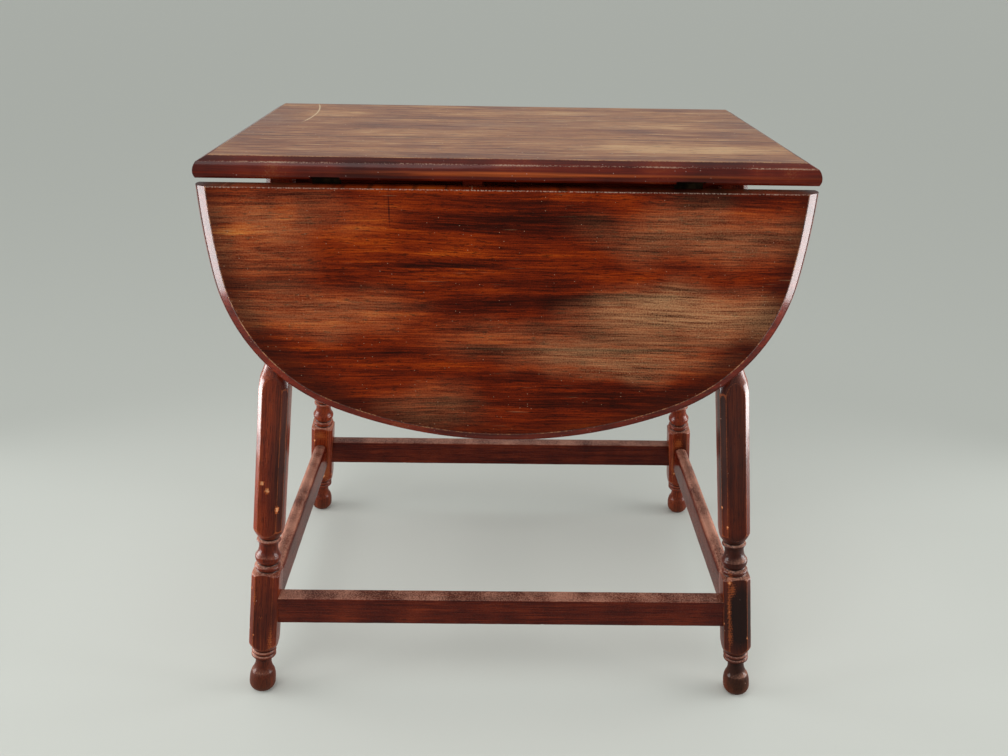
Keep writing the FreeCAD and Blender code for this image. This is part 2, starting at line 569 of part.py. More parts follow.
def make_prop(word, turn, hang):
    """The wooden prop of one leaf: it hangs behind the leaf and swings up under the seat block."""
    centre_x = "-prop_offset"
    tip_radius = "prop_depth / 2"
    left = f"{centre_x} - prop_thickness / 2"
    name = f"{word}_prop"
    shank = centred_box(f"{name}_shank", (centre_x, PROP_PIVOT_Y, f"{PROP_PIVOT_Z} - prop_length"),
                        ("prop_thickness", "prop_depth", "prop_length"))
    head = rod_along_x(f"{name}_head", (left, PROP_PIVOT_Y, PROP_PIVOT_Z), tip_radius, "prop_thickness")
    tip = rod_along_x(f"{name}_tip", (left, PROP_PIVOT_Y, f"{PROP_PIVOT_Z} - prop_length"), tip_radius,
                      "prop_thickness")
    bore = rod_along_x(f"{name}_bore", (f"{left} - overrun", PROP_PIVOT_Y, PROP_PIVOT_Z),
                       "prop_pin_diameter / 2 + pin_running_clearance", "prop_thickness + 2 * overrun")
    node(f"{name}_arm", cut(f"{name}_arm", fused(f"{name}_blank", shank, head, tip), bore), turn)
    outer = "(prop_thickness / 2 + prop_side_gap + cheek_thickness)"
    pin = rod_along_x(f"{name}_pin_raw", (f"{centre_x} - {outer}", PROP_PIVOT_Y, PROP_PIVOT_Z),
                      "prop_pin_diameter / 2", f"2 * {outer}")
    cheeks = []
    for hand in (-1, 1):
        cheek = centred_box(f"{name}_cheek_{hand}_blank",
                            (f"{centre_x} + {hand} * ({outer} - cheek_thickness / 2)", PROP_PIVOT_Y,
                             f"{PROP_PIVOT_Z} - cheek_height / 2"),
                            ("cheek_thickness", "cheek_depth", "cheek_height"))
        cheeks.append(cut(f"{name}_cheek_{hand}", cheek, pin))
    node(f"{name}_cheeks", group(f"{name}_cheeks", *cheeks), turn)
    node(f"{name}_pin", group(f"{name}_pin", pin), turn)
    seat_foot = f"{UNDERSIDE} - seat_thickness"
    block = centred_box(f"{name}_seat_blank", (centre_x, SEAT_Y, seat_foot),
                        ("seat_width", "seat_length", "seat_thickness"))
    hollow = rod_along_x(f"{name}_seat_hollow",
                         (f"{centre_x} - seat_width", SEAT_Y,
                          f"{seat_foot} + seat_hollow_depth - {tip_radius} - seat_hollow_ease"),
                         f"{tip_radius} + seat_hollow_ease", "2 * seat_width")
    node(f"{name}_seat", cut(f"{name}_seat", block, hollow), hang)


drillings = [make_frame()]
for word, turn, hang in side_placements():
    top_tools, leaf_screws = make_hinges(word, turn, hang)
    drillings += top_tools
    make_leaf(word, hang, leaf_screws)
    make_prop(word, turn, hang)
make_top(drillings)
doc.recompute()

for item in doc.Objects:
    if "Invalid" in item.State or "Error" in item.State:
        raise RuntimeError(f"{item.Name} failed: {item.State}")
for item in nodes:
    if item.Shape.isNull() or not item.Shape.isValid() or not item.Shape.Solids:
        raise RuntimeError(f"{item.Label} has no sound shape")
os.makedirs("parts", exist_ok=True)
for item in nodes:
    item.Shape.exportStep(f"parts/{item.Label}.step")
    print(f"{item.Label}: {len(item.Shape.Solids)} solids, {item.Shape.Volume:.0f} mm3")
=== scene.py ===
import json
import math
import bmesh
import bpy
import numpy as np
from mathutils import Matrix


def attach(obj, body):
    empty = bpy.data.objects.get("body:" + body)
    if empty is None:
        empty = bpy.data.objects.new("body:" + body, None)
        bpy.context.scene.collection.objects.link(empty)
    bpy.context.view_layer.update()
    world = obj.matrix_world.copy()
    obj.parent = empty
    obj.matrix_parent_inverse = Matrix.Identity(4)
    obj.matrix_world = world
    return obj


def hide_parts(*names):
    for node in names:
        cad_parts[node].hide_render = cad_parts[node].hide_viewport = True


# A worn mahogany drop-leaf table. Lengths are in metres, X along the table, Y across it, Z up.
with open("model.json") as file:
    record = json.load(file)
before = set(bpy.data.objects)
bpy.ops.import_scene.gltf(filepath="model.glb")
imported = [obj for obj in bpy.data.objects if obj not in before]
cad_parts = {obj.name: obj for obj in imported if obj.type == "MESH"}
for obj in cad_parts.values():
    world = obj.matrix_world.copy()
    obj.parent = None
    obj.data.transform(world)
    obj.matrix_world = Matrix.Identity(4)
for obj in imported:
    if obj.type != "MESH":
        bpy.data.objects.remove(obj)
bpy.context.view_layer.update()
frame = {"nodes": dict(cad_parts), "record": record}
MM = 0.001

# Sizes shared with the construction
TABLE_HEIGHT = 654 * MM
UNDERSIDE = 634 * MM
TOP_HALF_X = 305 * MM
TOP_GLUE_LINES = (-62 * MM, 62 * MM)
LEAF_FACE_Y = 193 * MM
LEAF_UPPER_Z, LEAF_LOWER_Z = 627.6 * MM, 346.6 * MM
LEAF_DROP = LEAF_UPPER_Z - LEAF_LOWER_Z
# Under this height a worn arris belongs to a leaf.
LEAF_ARRIS_Z = UNDERSIDE - 8 * MM
LEAF_GLUE_LINES = (LEAF_UPPER_Z - 0.575 * LEAF_DROP, LEAF_UPPER_Z - 0.29 * LEAF_DROP)
MOULDING_LEDGE_Z = TABLE_HEIGHT - 4.4 * MM
# Heights between which a leaf's rim and the legs go from knocked dull to shiny
LEAF_DULL_Z, LEAF_SHINY_Z = 430 * MM, 540 * MM
LEG_DULL_Z, LEG_SHINY_Z = 240 * MM, 330 * MM
FOOT_X, FOOT_Y = 298 * MM, 204 * MM
SPLAY_X, SPLAY_Y = 69 * MM, 78 * MM
STOCK, CHAMFER = 33 * MM, 5.6 * MM
STRETCHER_HEIGHT = 117 * MM
STRETCHER_THICK, STRETCHER_DEEP = 19 * MM, 37 * MM
# A stretcher's shown end stops this far short of the leg's axis, inside the leg.
STRETCHER_END = 11 * MM

# Turned stretches of a leg from the floor up: length in millimetres, then the points of the turned line as
# shares of the length and of the stock, each with the swell of the line to the next point.
TURNED_STRETCHES = {
    "foot": (47.0, ((0.0, 0.2, 0.2), (0.32, 0.48, 0.05), (0.6, 0.42, -0.1), (0.99, 0.31, 0.0))),
    "collar": (13.5, ((0.13, 0.37, 0.45), (0.56, 0.38, 0.0), (0.61, 0.4, 0.4), (0.93, 0.4, 0.0))),
    "lower_block": (110.0, ((0.0, 0.39, 0.08), (0.195, 0.68, 0.0), (0.9, 0.68, 0.16), (1.0, 0.45, 0.0))),
    "vase": (44.0, ((0.02, 0.38, 0.36), (0.2, 0.38, 0.0), (0.225, 0.36, 0.13), (0.435, 0.46, -0.1),
                    (0.785, 0.345, 0.0), (0.85, 0.365, 0.45), (0.955, 0.365, 0.0), (0.975, 0.34, 0.0))),
    "upper_block": (148.0, ((0.0, 0.37, 0.08), (0.18, 0.68, 0.0), (1.0, 0.68, 0.03))),
    "neck": (141.5, ((0.36, 0.53, -0.06), (0.7, 0.32, 0.0), (0.73, 0.35, 0.45), (0.79, 0.35, 0.45),
                     (0.85, 0.35, 0.0), (0.87, 0.37, 0.18), (0.95, 0.68, 0.0))),
}
# Points along each bowed stretch of the turned line, and the line's end, past the leg's upper end
BOW_POINTS = 14
LINE_END = 1.1 * UNDERSIDE
# Rows of points up a leg, in millimetres: from, to and step, closer over the turned stretches
LEG_ROWS = ((0, 84, 0.8), (84, 156, 1.2), (156, 244, 0.8), (244, 360, 1.2), (360, 500, 1.1), (500, 640, 7.0))
# Points round a quarter of a leg, in degrees from the middle of a flat, closer at the chamfer's arris
ARRIS_ANGLE = 33.45
HALF_FLAT_ANGLES = (4, 8, 12, 16, 20, 24, 28, 31.2, 32.4, ARRIS_ANGLE, 34.5, 35.6, 37, 41)
QUARTER_ANGLES = (-45, *(-angle for angle in reversed(HALF_FLAT_ANGLES)), 0, *HALF_FLAT_ANGLES)
# How hard two surfaces are blended where they meet: a lower power rounds the arris more.
ARRIS_POWER = 64
# Depth that the blend takes off a full arris, by which its wear is graded
ARRIS_DEPTH = 0.2 * MM
# Over this height from each end a leg's rows turn level.
END_BEND = 12 * MM
# A turned groove lies under the line's mean over a reach in millimetres, where the leg is slim. Its
# darkening is full at this depth.
GROOVE_REACH = (-4, -2.5, -1.2, 1.2, 2.5, 4)
GROOVE_RADIUS, GROOVE_DEPTH = 0.42 * STOCK, 2.0 * MM
# Knocks by chance on each leg and stretcher, and the heights in millimetres where a leg gets them
CHANCE_KNOCKS = 9
LOWER_KNOCKS, UPPER_KNOCKS = (75, 150), (235, 400)
# Half lengths and half widths of these chips on legs and dents on stretchers, in millimetres, and how many
# half sizes out a mark has faded
CHIP_LONG, CHIP_WIDE = (0.8, 2.2), (0.5, 1.0)
DENT_LONG, DENT_WIDE = (0.9, 2.4), (0.6, 1.1)
SPOT_FADE, DENT_FADE = 1.5, 1.6
# Waves that make a knock's edge uneven, in radians per metre: along the leg, round it and askew
EDGE_ALONG, EDGE_ROUND, EDGE_SKEW = 1900, 2600, 900
CHIP_DEPTH, DENT_DEPTH = 0.7 * MM, 0.5 * MM
LEG_HOLLOWS, STRETCHER_HOLLOWS = 0.1 * MM, 0.12 * MM
FOOT_SCUFF_HEIGHT = 52 * MM
# The legs read their grain this far apart, so that no two are alike.
LEG_GRAIN_X, LEG_GRAIN_Y = 0.37, 0.53
LONG_UPPER_ROUND, END_UPPER_ROUND, LOWER_ROUND = 2.2 * MM, 8.6 * MM, 1.5 * MM
# Points round an arris and along a side of a stretcher's section, and the step between its rows
ROUND_POINTS, SIDE_POINTS = 7, 9
STRETCHER_ROW = 1.8 * MM
STRETCHER_WEAR = 0.6
# The boards: width of a worn arris, and how near a point counts as lying on a line or on the face
WORN_ARRIS = 0.7 * MM
ON_LINE, OFF_FACE = 0.02 * MM, 0.03 * MM
SAME_POINT = 0.001 * MM
# Bends between two faces: up to the first they are one flat, over the second a face's arris is worn round,
# over the third any other edge stays a crease.
FLAT_BEND, ROUNDED_BEND, CREASED_BEND = (math.radians(angle) for angle in (0.3, 15, 24))
# A face that looks further away from the board's face than this is its back.
BACK_LOOK = -0.9


# Meshes

def put_in_scene(name, data):
    """A new object in the scene for a mesh, lamp or camera."""
    thing = bpy.data.objects.new(name, data)
    bpy.context.scene.collection.objects.link(thing)
    return thing


def show_piece(name, mesh, nodes, body, materials):
    """Puts a finished mesh in the scene in place of its CAD nodes."""
    mesh.polygons.foreach_set("use_smooth", np.ones(len(mesh.polygons), bool))
    for material in materials:
        mesh.materials.append(material)
    thing = put_in_scene(name, mesh)
    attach(thing, body)
    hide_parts(*nodes)
    return thing


def tube_mesh(name, points, attributes):
    """Mesh of a grid of points, closed round its columns and capped at its first and last row, with one
    value or vector per point for each attribute."""
    rows, columns = points.shape[:2]
    row = np.arange(rows - 1)[:, None] * columns
    start = (row + np.arange(columns)[None, :]).ravel()
    after = (row + (np.arange(columns)[None, :] + 1) % columns).ravel()
    faces = np.stack([start, after, after + columns, start + columns], axis=1).tolist()
    faces.append(list(range(columns - 1, -1, -1)))
    faces.append(list(range((rows - 1) * columns, rows * columns)))
    mesh = bpy.data.meshes.new(name)
    mesh.from_pydata(points.reshape(-1, 3).tolist(), [], faces)
    for key, values in attributes.items():
        vector = values.ndim == 3
        layer = mesh.attributes.new(key, "FLOAT_VECTOR" if vector else "FLOAT", "POINT")
        layer.data.foreach_set("vector" if vector else "value", values.astype(np.float32).ravel())
    return mesh


def hollows(random, along, around, size):
    """Slow unevenness of hand-finished stock, inwards only: a size times the mean of waves along and around
    the piece, less 1, each wave with a phase by chance."""
    rates, turns = (31.0, 57.0, 113.0, 210.0), (1, 2, 3, 2)
    phases = random.uniform(0, 6, len(rates))
    waves = [np.sin(along * rate + around * turn + phase) for rate, turn, phase in zip(rates, turns, phases)]
    return size * (sum(waves) / len(waves) - 1)


def turned_line():
    """Heights and radii of a leg's turned line. Each stretch between two points is a chord bowed by a
    parabola: r = r0 + t dr + 4 s dh t (1 - t) and h = h0 + t dh - 4 s dr t (1 - t), with swell s."""
    knots, floor = [], 0.0
    for length, points in TURNED_STRETCHES.values():
        knots += [(floor + share * length * MM, wide * STOCK, swell) for share, wide, swell in points]
        floor += length * MM
    knots.append((LINE_END, knots[-1][1], 0.0))
    t = np.linspace(0, 1, BOW_POINTS)[:-1]
    heights, radii = [], []
    for (h0, r0, swell), (h1, r1, _) in zip(knots, knots[1:]):
        bow = 4 * swell * t * (1 - t)
        heights.append(h0 + t * (h1 - h0) - bow * (r1 - r0))
        radii.append(r0 + t * (r1 - r0) + bow * (h1 - h0))
    return np.concatenate(heights), np.concatenate(radii)


TURNED_HEIGHTS, TURNED_RADII = turned_line()


def spots(height, angle, radius, places, roughness):
    """Spots on a leg, each (height, angle in degrees, half length, half width, amount), sizes in
    millimetres: the fade less the distance in half sizes, kept between 0 and 1. Two waves of a given
    roughness make a spot's edge uneven."""
    mask = np.zeros_like(radius)
    for tall, turn, half_long, half_wide, amount in places:
        gap = np.radians((np.degrees(angle) - turn + 180) % 360 - 180) * radius
        apart = np.hypot((height - tall * MM) / (half_long * MM), gap / (half_wide * MM))
        waves = np.sin(height * EDGE_ALONG + turn) + np.sin(gap * EDGE_ROUND + height * EDGE_SKEW)
        mask = np.maximum(mask, amount * np.clip(SPOT_FADE - apart - roughness * waves, 0, 1))
    return mask


def make_leg(hand, side, chips, scrapes, shade_and_grime_spots, seed):
    """A leg in polar form about its leaning axis: r = (square^-p + turned^-p)^(-1/p), the stock's flats and
    chamfers blended with the turned line, less its chips. Rows are bent at the ends to lie level."""
    random = np.random.default_rng(seed)
    foot = np.array([hand * FOOT_X, side * FOOT_Y, 0.0])
    lean = np.array([-hand * SPLAY_X, -side * SPLAY_Y, UNDERSIDE])
    length = np.linalg.norm(lean)
    tilt, nod = math.asin(lean[0] / length), math.atan2(-lean[1], lean[2])
    across = np.array([math.cos(tilt), math.sin(tilt) * math.sin(nod), -math.sin(tilt) * math.cos(nod)])
    ahead = np.array([0.0, math.cos(nod), math.sin(nod)])
    axis = lean / length
    stretches = [np.arange(low, high, step) for low, high, step in LEG_ROWS]
    rows = np.concatenate([*stretches, [length / MM]]) * MM
    angle = np.radians(np.add.outer(np.arange(4) * 90, np.array(QUARTER_ANGLES)).ravel())[None, :]
    # Level ends: a point at radius r and angle a stands r (across.z cos a + ahead.z sin a) off its row.
    slope = (across[2] * np.cos(angle) + ahead[2] * np.sin(angle)) / axis[2]
    low_fade = np.clip(1 - rows / END_BEND, 0, 1)[:, None]
    high_fade = np.clip(1 - (length - rows) / END_BEND, 0, 1)[:, None]
    height = rows[:, None] - slope * (TURNED_RADII[0] * low_fade + STOCK / 2 * high_fade)
    turned = np.interp(height, TURNED_HEIGHTS, TURNED_RADII)
    planes = np.arange(8) * math.pi / 4
    reach = np.where(np.arange(8) % 2 == 0, STOCK / 2, (STOCK - CHAMFER) / math.sqrt(2))
    facing = np.clip(np.cos(angle[0][:, None] - planes[None, :]), 0, None) / reach[None, :]
    square = (facing ** ARRIS_POWER).sum(axis=1) ** (-1 / ARRIS_POWER)
    sharp = np.minimum(1 / facing.max(axis=1)[None, :], turned)
    radius = (square[None, :] ** -ARRIS_POWER + turned ** -ARRIS_POWER) ** (-1 / ARRIS_POWER)
    wear = np.clip((sharp - radius) / ARRIS_DEPTH, 0, 1)
    nearby = [np.interp(height + shift * MM, TURNED_HEIGHTS, TURNED_RADII) for shift in GROOVE_REACH]
    groove = np.clip((np.mean(nearby, axis=0) - turned) / GROOVE_DEPTH, 0, 1) * (turned < GROOVE_RADIUS)
    chance = []
    for _ in range(CHANCE_KNOCKS):
        tall = random.uniform(*(LOWER_KNOCKS if random.random() < 0.5 else UPPER_KNOCKS))
        way = random.choice((-1, 1))
        arris = random.choice((ARRIS_ANGLE, 90 - ARRIS_ANGLE))
        flat = random.choice((0, 90, 180, 270))
        half_long, half_wide = random.uniform(*CHIP_LONG), random.uniform(*CHIP_WIDE)
        chance.append((tall, way * arris + flat, half_long, half_wide, 1.0))
    chip = spots(height, angle, radius, [*chips, *chance], roughness=0.22)
    wear = np.maximum(wear, spots(height, angle, radius, scrapes, roughness=0.4))
    # Dark patches: mostly painted shade, partly grime
    darkening = spots(height, angle, radius, shade_and_grime_spots, roughness=0.0)
    scuff = np.clip(1 - height / FOOT_SCUFF_HEIGHT, 0, 1)
    radius = radius - CHIP_DEPTH * chip + hollows(random, height, angle, LEG_HOLLOWS)
    aside, forward = radius * np.cos(angle), radius * np.sin(angle)
    points = foot + aside[..., None] * across + forward[..., None] * ahead + height[..., None] * axis
    points[0, :, 2] = 0.0
    points[-1, :, 2] = UNDERSIDE
    grain = np.stack([aside + hand * LEG_GRAIN_X, forward + side * LEG_GRAIN_Y, height], axis=-1)
    name = f"leg_{'front' if side < 0 else 'back'}_{'left' if hand < 0 else 'right'}"
    marks = {"grain": grain, "wear": wear, "chip": chip, "groove": groove, "darkening": darkening, "scuff": scuff}
    mesh = tube_mesh(f"worn_{name}", points, marks)
    show_piece(f"worn_{name}", mesh, [name], "frame", [leg_finish])


def bar_section(upper_round):
    """Section of a stretcher: four quarter rounds joined by straight sides, with each point's way
    outwards."""
    quarter = np.radians(np.linspace(0, 90, ROUND_POINTS))
    corners, ways = [], []
    for count, (u, v) in enumerate(((1, 1), (-1, 1), (-1, -1), (1, -1))):
        round_off = upper_round if v > 0 else LOWER_ROUND
        centre = np.array([u * (STRETCHER_THICK / 2 - round_off), v * (STRETCHER_DEEP / 2 - round_off)])
        turn = quarter + count * math.pi / 2
        way = np.stack([np.cos(turn), np.sin(turn)], axis=1)
        corners.append(centre + round_off * way)
        ways.append(way)
    share = np.linspace(0, 1, SIDE_POINTS)[1:-1, None]
    section, outward = [], []
    for corner, after, way in zip(corners, corners[1:] + corners[:1], ways):
        section += [corner, corner[-1] + share * (after[0] - corner[-1])]
        outward += [way, np.repeat(way[-1:], len(share), axis=0)]
    return np.concatenate(section), np.concatenate(outward)


def make_stretcher(word, side, upper_round, seed):
    """A bar of rounded section carried along X or Y between two legs, with dents along its arrises. Points
    move only inwards, against their own way outwards."""
    random = np.random.default_rng(seed)
    lean_share = STRETCHER_HEIGHT / UNDERSIDE
    reach_x, reach_y = FOOT_X - SPLAY_X * lean_share, FOOT_Y - SPLAY_Y * lean_share
    lengthwise = word in ("front", "back")
    half_length = (reach_x if lengthwise else reach_y) - STRETCHER_END
    section, outward = bar_section(upper_round)
    wear = STRETCHER_WEAR * np.minimum(np.abs(outward[:, 0]), np.abs(outward[:, 1])) / math.sqrt(0.5)
    along = np.append(np.arange(-half_length, half_length, STRETCHER_ROW), half_length)[:, None]
    chip = np.zeros((len(along), len(section)))
    for _ in range(CHANCE_KNOCKS):
        u, v = random.choice((-1, 1), 2)
        place = random.uniform(-half_length, half_length)
        spot = np.array([u * STRETCHER_THICK, v * STRETCHER_DEEP]) / 2
        half_long, half_wide = random.uniform(*DENT_LONG) * MM, random.uniform(*DENT_WIDE) * MM
        off_spot = np.linalg.norm(section - spot, axis=1)[None, :]
        apart = np.hypot((along - place) / half_long, off_spot / half_wide)
        chip = np.maximum(chip, np.clip(DENT_FADE - apart, 0, 1))
    around = np.arctan2(section[:, 1], section[:, 0])[None, :]
    shift = hollows(random, along, around, STRETCHER_HOLLOWS) - DENT_DEPTH * chip
    local = section[None, :, :] + shift[..., None] * outward[None, :, :]
    run = np.broadcast_to(along, shift.shape)
    upright = STRETCHER_HEIGHT + local[..., 1]
    if lengthwise:
        points = np.stack([run, side * reach_y - local[..., 0], upright], axis=-1)
    else:
        points = np.stack([side * reach_x + local[..., 0], run, upright], axis=-1)[::-1]
    # The seed also sets the bars' grain apart.
    grain = np.stack([local[..., 0] + seed, local[..., 1], run if lengthwise else run[::-1]], axis=-1)
    marks = {"grain": grain, "wear": np.broadcast_to(wear, shift.shape),
             "chip": chip if lengthwise else chip[::-1]}
    name = f"stretcher_{word}"
    mesh = tube_mesh(f"worn_{name}", points, marks)
    show_piece(f"worn_{name}", mesh, [name], "frame", [stretcher_finish])


def worn_board(node, body, materials, face_way, face_place, across, square_lines):
    """A board of the construction with its face's arrises worn round, except along its glue lines and hinge
    edge, which lie square across the given lines. Materials are for the face, the moulding and the worn
    arris; the moulding is what lies under the face and turns outwards, apart from those square edges."""
    board = bmesh.new()
    board.from_mesh(frame["nodes"][node].data)
    bmesh.ops.remove_doubles(board, verts=board.verts, dist=SAME_POINT)
    bmesh.ops.dissolve_limit(board, angle_limit=FLAT_BEND, verts=board.verts, edges=board.edges)
    mesh = bpy.data.meshes.new(f"worn_{node}")
    board.to_mesh(mesh)
    board.free()
    wanted = (("co", mesh.vertices, 3, float), ("vertices", mesh.edges, 2, np.int32),
              ("edge_index", mesh.loops, 1, np.int32), ("loop_total", mesh.polygons, 1, np.int32),
              ("normal", mesh.polygons, 3, float), ("center", mesh.polygons, 3, float))
    read = {}
    for key, items, size, kind in wanted:
        values = np.zeros(len(items) * size, kind)
        items.foreach_get(key, values)
        read[key] = values.reshape(-1, size) if size > 1 else values
    # Each edge of a closed board has two faces, found by sorting the face corners by edge.
    corner_faces = np.repeat(np.arange(len(mesh.polygons)), read["loop_total"])
    pairs = corner_faces[np.argsort(read["edge_index"], kind="stable")].reshape(-1, 2)
    normals = read["normal"]
    bend = np.arccos(np.clip((normals[pairs[:, 0]] * normals[pairs[:, 1]]).sum(axis=1), -1, 1))
    face_way, across, square_lines = np.array(face_way), np.array(across), np.array(square_lines)
    on_face = (face_place - read["co"] @ face_way < ON_LINE)[read["vertices"]].all(axis=1)
    corner_gap = np.abs((read["co"] @ across)[:, None] - square_lines[None, :]).min(axis=1)
    square_edge = (corner_gap < ON_LINE)[read["vertices"]].all(axis=1)
    rounded = on_face & ~square_edge & (bend > ROUNDED_BEND)
    face_gap = np.abs((read["center"] @ across)[:, None] - square_lines[None, :]).min(axis=1)
    under_face = face_place - read["center"] @ face_way > OFF_FACE
    moulded = under_face & (normals @ face_way > BACK_LOOK) & (face_gap > ON_LINE)
    creased = (bend > CREASED_BEND) & ~rounded
    for key, kind, values in (("bevel_weight_edge", "FLOAT", rounded.astype(np.float32)),
                              ("sharp_edge", "BOOLEAN", creased)):
        mesh.attributes.new(key, kind, "EDGE").data.foreach_set("value", values)
    mesh.polygons.foreach_set("material_index", moulded.astype(np.int32))
    thing = show_piece(f"worn_{node}", mesh, [node], body, materials)
    bevel = thing.modifiers.new("worn_arris", "BEVEL")
    bevel.limit_method = "WEIGHT"
    bevel.width = WORN_ARRIS
    bevel.segments = 2
    bevel.material = len(materials) - 1
    level = thing.modifiers.new("flat_faces", "WEIGHTED_NORMAL")
    level.keep_sharp = True


# Materials
#
# Inputs given by number: most nodes take them in order. MapRange has 0 for the value, 1 and 2 for its range
# and 3 and 4 for the range it is sent to. Mix has 0 for the mask, 6 for the colour below and 7 for the
# colour over it.

# Each layer of grain reads its own part of the noise, this many repeats further on.
LAYER_SHIFT = 3.7


def linear(code):
    """An sRGB hex colour as linear values for a shader."""
    parts = np.array([int(code[i:i + 2], 16) / 255 for i in (1, 3, 5)])
    low = parts / 12.92
    high = ((parts + 0.055) / 1.055) ** 2.4
    return (*np.where(parts <= 0.04045, low, high).tolist(), 1.0)


def add(tree, kind, inputs=None, out=0, stops=(), **settings):
    """One node: its settings, a ramp's colours, then each input as a value or as the output that feeds it.
    Gives back the output that is asked for."""
    node = tree.nodes.new("ShaderNode" + kind)
    for key, value in settings.items():
        setattr(node, key, value)
    if stops:
        ramp = node.color_ramp
        while len(ramp.elements) < len(stops):
            ramp.elements.new(0.5)
        for element, (place, code) in zip(ramp.elements, stops):
            element.position = place
            element.color = linear(code)
    for key, value in (inputs or {}).items():
        if isinstance(value, bpy.types.NodeSocket):
            tree.links.new(value, node.inputs[key])
        else:
            node.inputs[key].default_value = value
    return node.outputs[out]


def start_finish(name, **constants):
    """An empty finish: its tree and its shader, with values that are the same all over set on the shader."""
    material = bpy.data.materials.new(name)
    material.use_nodes = True
    tree = material.node_tree
    shader = tree.nodes["Principled BSDF"]
    for key, value in constants.items():
        shader.inputs[key.replace("_", " ")].default_value = value
    return material, tree, shader


def end_finish(tree, shader, colour, roughness, height, depth):
    """Gives a shader its colour, its roughness and the relief of a height, its depth in millimetres."""
    relief = add(tree, "Bump", {"Height": height, "Distance": depth * MM, "Strength": 1.0})
    for key, value in (("Base Color", colour), ("Roughness", roughness), ("Normal", relief)):
        tree.links.new(value, shader.inputs[key])


def grain_layers(tree, place, along, layers):
    """Grain drawn out along one axis: one noise for each (width, length, detail), sizes in millimetres.
    Real pores are about 0.3 mm wide; the finest layers are three to ten times coarser, or would not show."""
    values = []
    for count, (width, length, detail) in enumerate(layers):
        rate = [1 / (width * MM)] * 3
        rate[along] = 1 / (length * MM)
        shift = (LAYER_SHIFT * count,) * 3
        drawn = add(tree, "Mapping", {"Vector": place, "Scale": rate, "Location": shift})
        noise = {"Vector": drawn, "Scale": 1.0, "Detail": detail, "Roughness": 0.6}
        values.append(add(tree, "TexNoise", noise))
    return values


def stain_and_grit(tree, place, stain_size, grit_size):
    """Two noises that most finishes share, slow stains and fine grit, with sizes in millimetres."""
    return [add(tree, "TexNoise", {"Vector": place, "Scale": 1 / (size * MM), "Detail": detail})
            for size, detail in ((stain_size, 3.0), (grit_size, 4.0))]


def swayed(tree, place, width, amount):
    """The place pushed about by slow noise, so that grain lines sway. Both sizes are in millimetres."""
    slow = add(tree, "TexNoise", {"Vector": place, "Scale": 1 / (width * MM), "Detail": 1.0}, out=1)
    centred = add(tree, "VectorMath", {0: slow, 1: (0.5, 0.5, 0.5)}, operation="SUBTRACT")
    push = add(tree, "VectorMath", {0: centred, "Scale": amount * MM}, operation="SCALE")
    return add(tree, "VectorMath", {0: place, 1: push}, operation="ADD")


def mixed_tone(tree, start, parts):
    """A tone made of parts, each (value, weight), added to a start."""
    for value, weight in parts:
        start = add(tree, "Math", {0: value, 1: weight, 2: start}, operation="MULTIPLY_ADD")
    return start


def painted(tree, base, layers):
    """Colour layers laid over a base, each (mask, colour)."""
    for mask, tone in layers:
        over = tone if isinstance(tone, bpy.types.NodeSocket) else linear(tone)
        base = add(tree, "Mix", {0: mask, 6: base, 7: over}, out=2, data_type="RGBA")
    return base


def patches(tree, place, start, ovals):
    """Soft oval patches added to a start, each (centre, half sizes, amount), in millimetres. A half size of
    0 is without limit."""
    for centre, half, amount in ovals:
        rate = [1 / (size * MM) if size else 0.0 for size in half]
        moved = [-middle * MM * step for middle, step in zip(centre, rate)]
        local = add(tree, "Mapping", {"Vector": place, "Scale": rate, "Location": moved})
        oval = add(tree, "TexGradient", {"Vector": local}, out=1, gradient_type="SPHERICAL")
        soft = add(tree, "MapRange", {0: oval, 1: 0.0, 2: 0.8}, interpolation_type="SMOOTHSTEP")
        start = mixed_tone(tree, start, ((soft, amount),))
    return start


def in_patches(tree, place, ovals, mask):
    """A mask kept to soft oval patches, at most 1."""
    soft = patches(tree, place, 0.0, ovals)
    return add(tree, "Math", {0: soft, 1: mask}, operation="MULTIPLY", use_clamp=True)


def specks(tree, place, spacing, size, share):
    """Small scattered specks of dust or bare wood: a spot of a size in a share of the cells of a spacing, in
    millimetres. They are drawn about twice as large as real grit, which would not show."""
    cell = {"Vector": place, "Scale": 1 / (spacing * MM), "Randomness": 1.0}
    near = add(tree, "TexVoronoi", cell, out="Distance")
    luck = add(tree, "SeparateColor", {0: add(tree, "TexVoronoi", cell, out="Color")})
    kept = add(tree, "Math", {0: luck, 1: share}, operation="LESS_THAN")
    return add(tree, "MapRange", {0: near, 1: size / spacing, 2: 0.4 * size / spacing, 4: kept})


def scratches(tree, place, turn, spacing, length, strength):
    """Thin scratches that all run about one way: sparse crests of noise drawn out along a turned axis, up to
    a strength."""
    rate = (1 / (length * MM), 1 / (spacing * MM), 1 / (spacing * MM))
    turned = add(tree, "Mapping", {"Vector": place, "Rotation": turn, "Scale": rate})
    noise = add(tree, "TexNoise", {"Vector": turned, "Scale": 1.0, "Detail": 2.0})
    return add(tree, "MapRange", {0: noise, 1: 0.67, 2: 0.73, 4: strength})


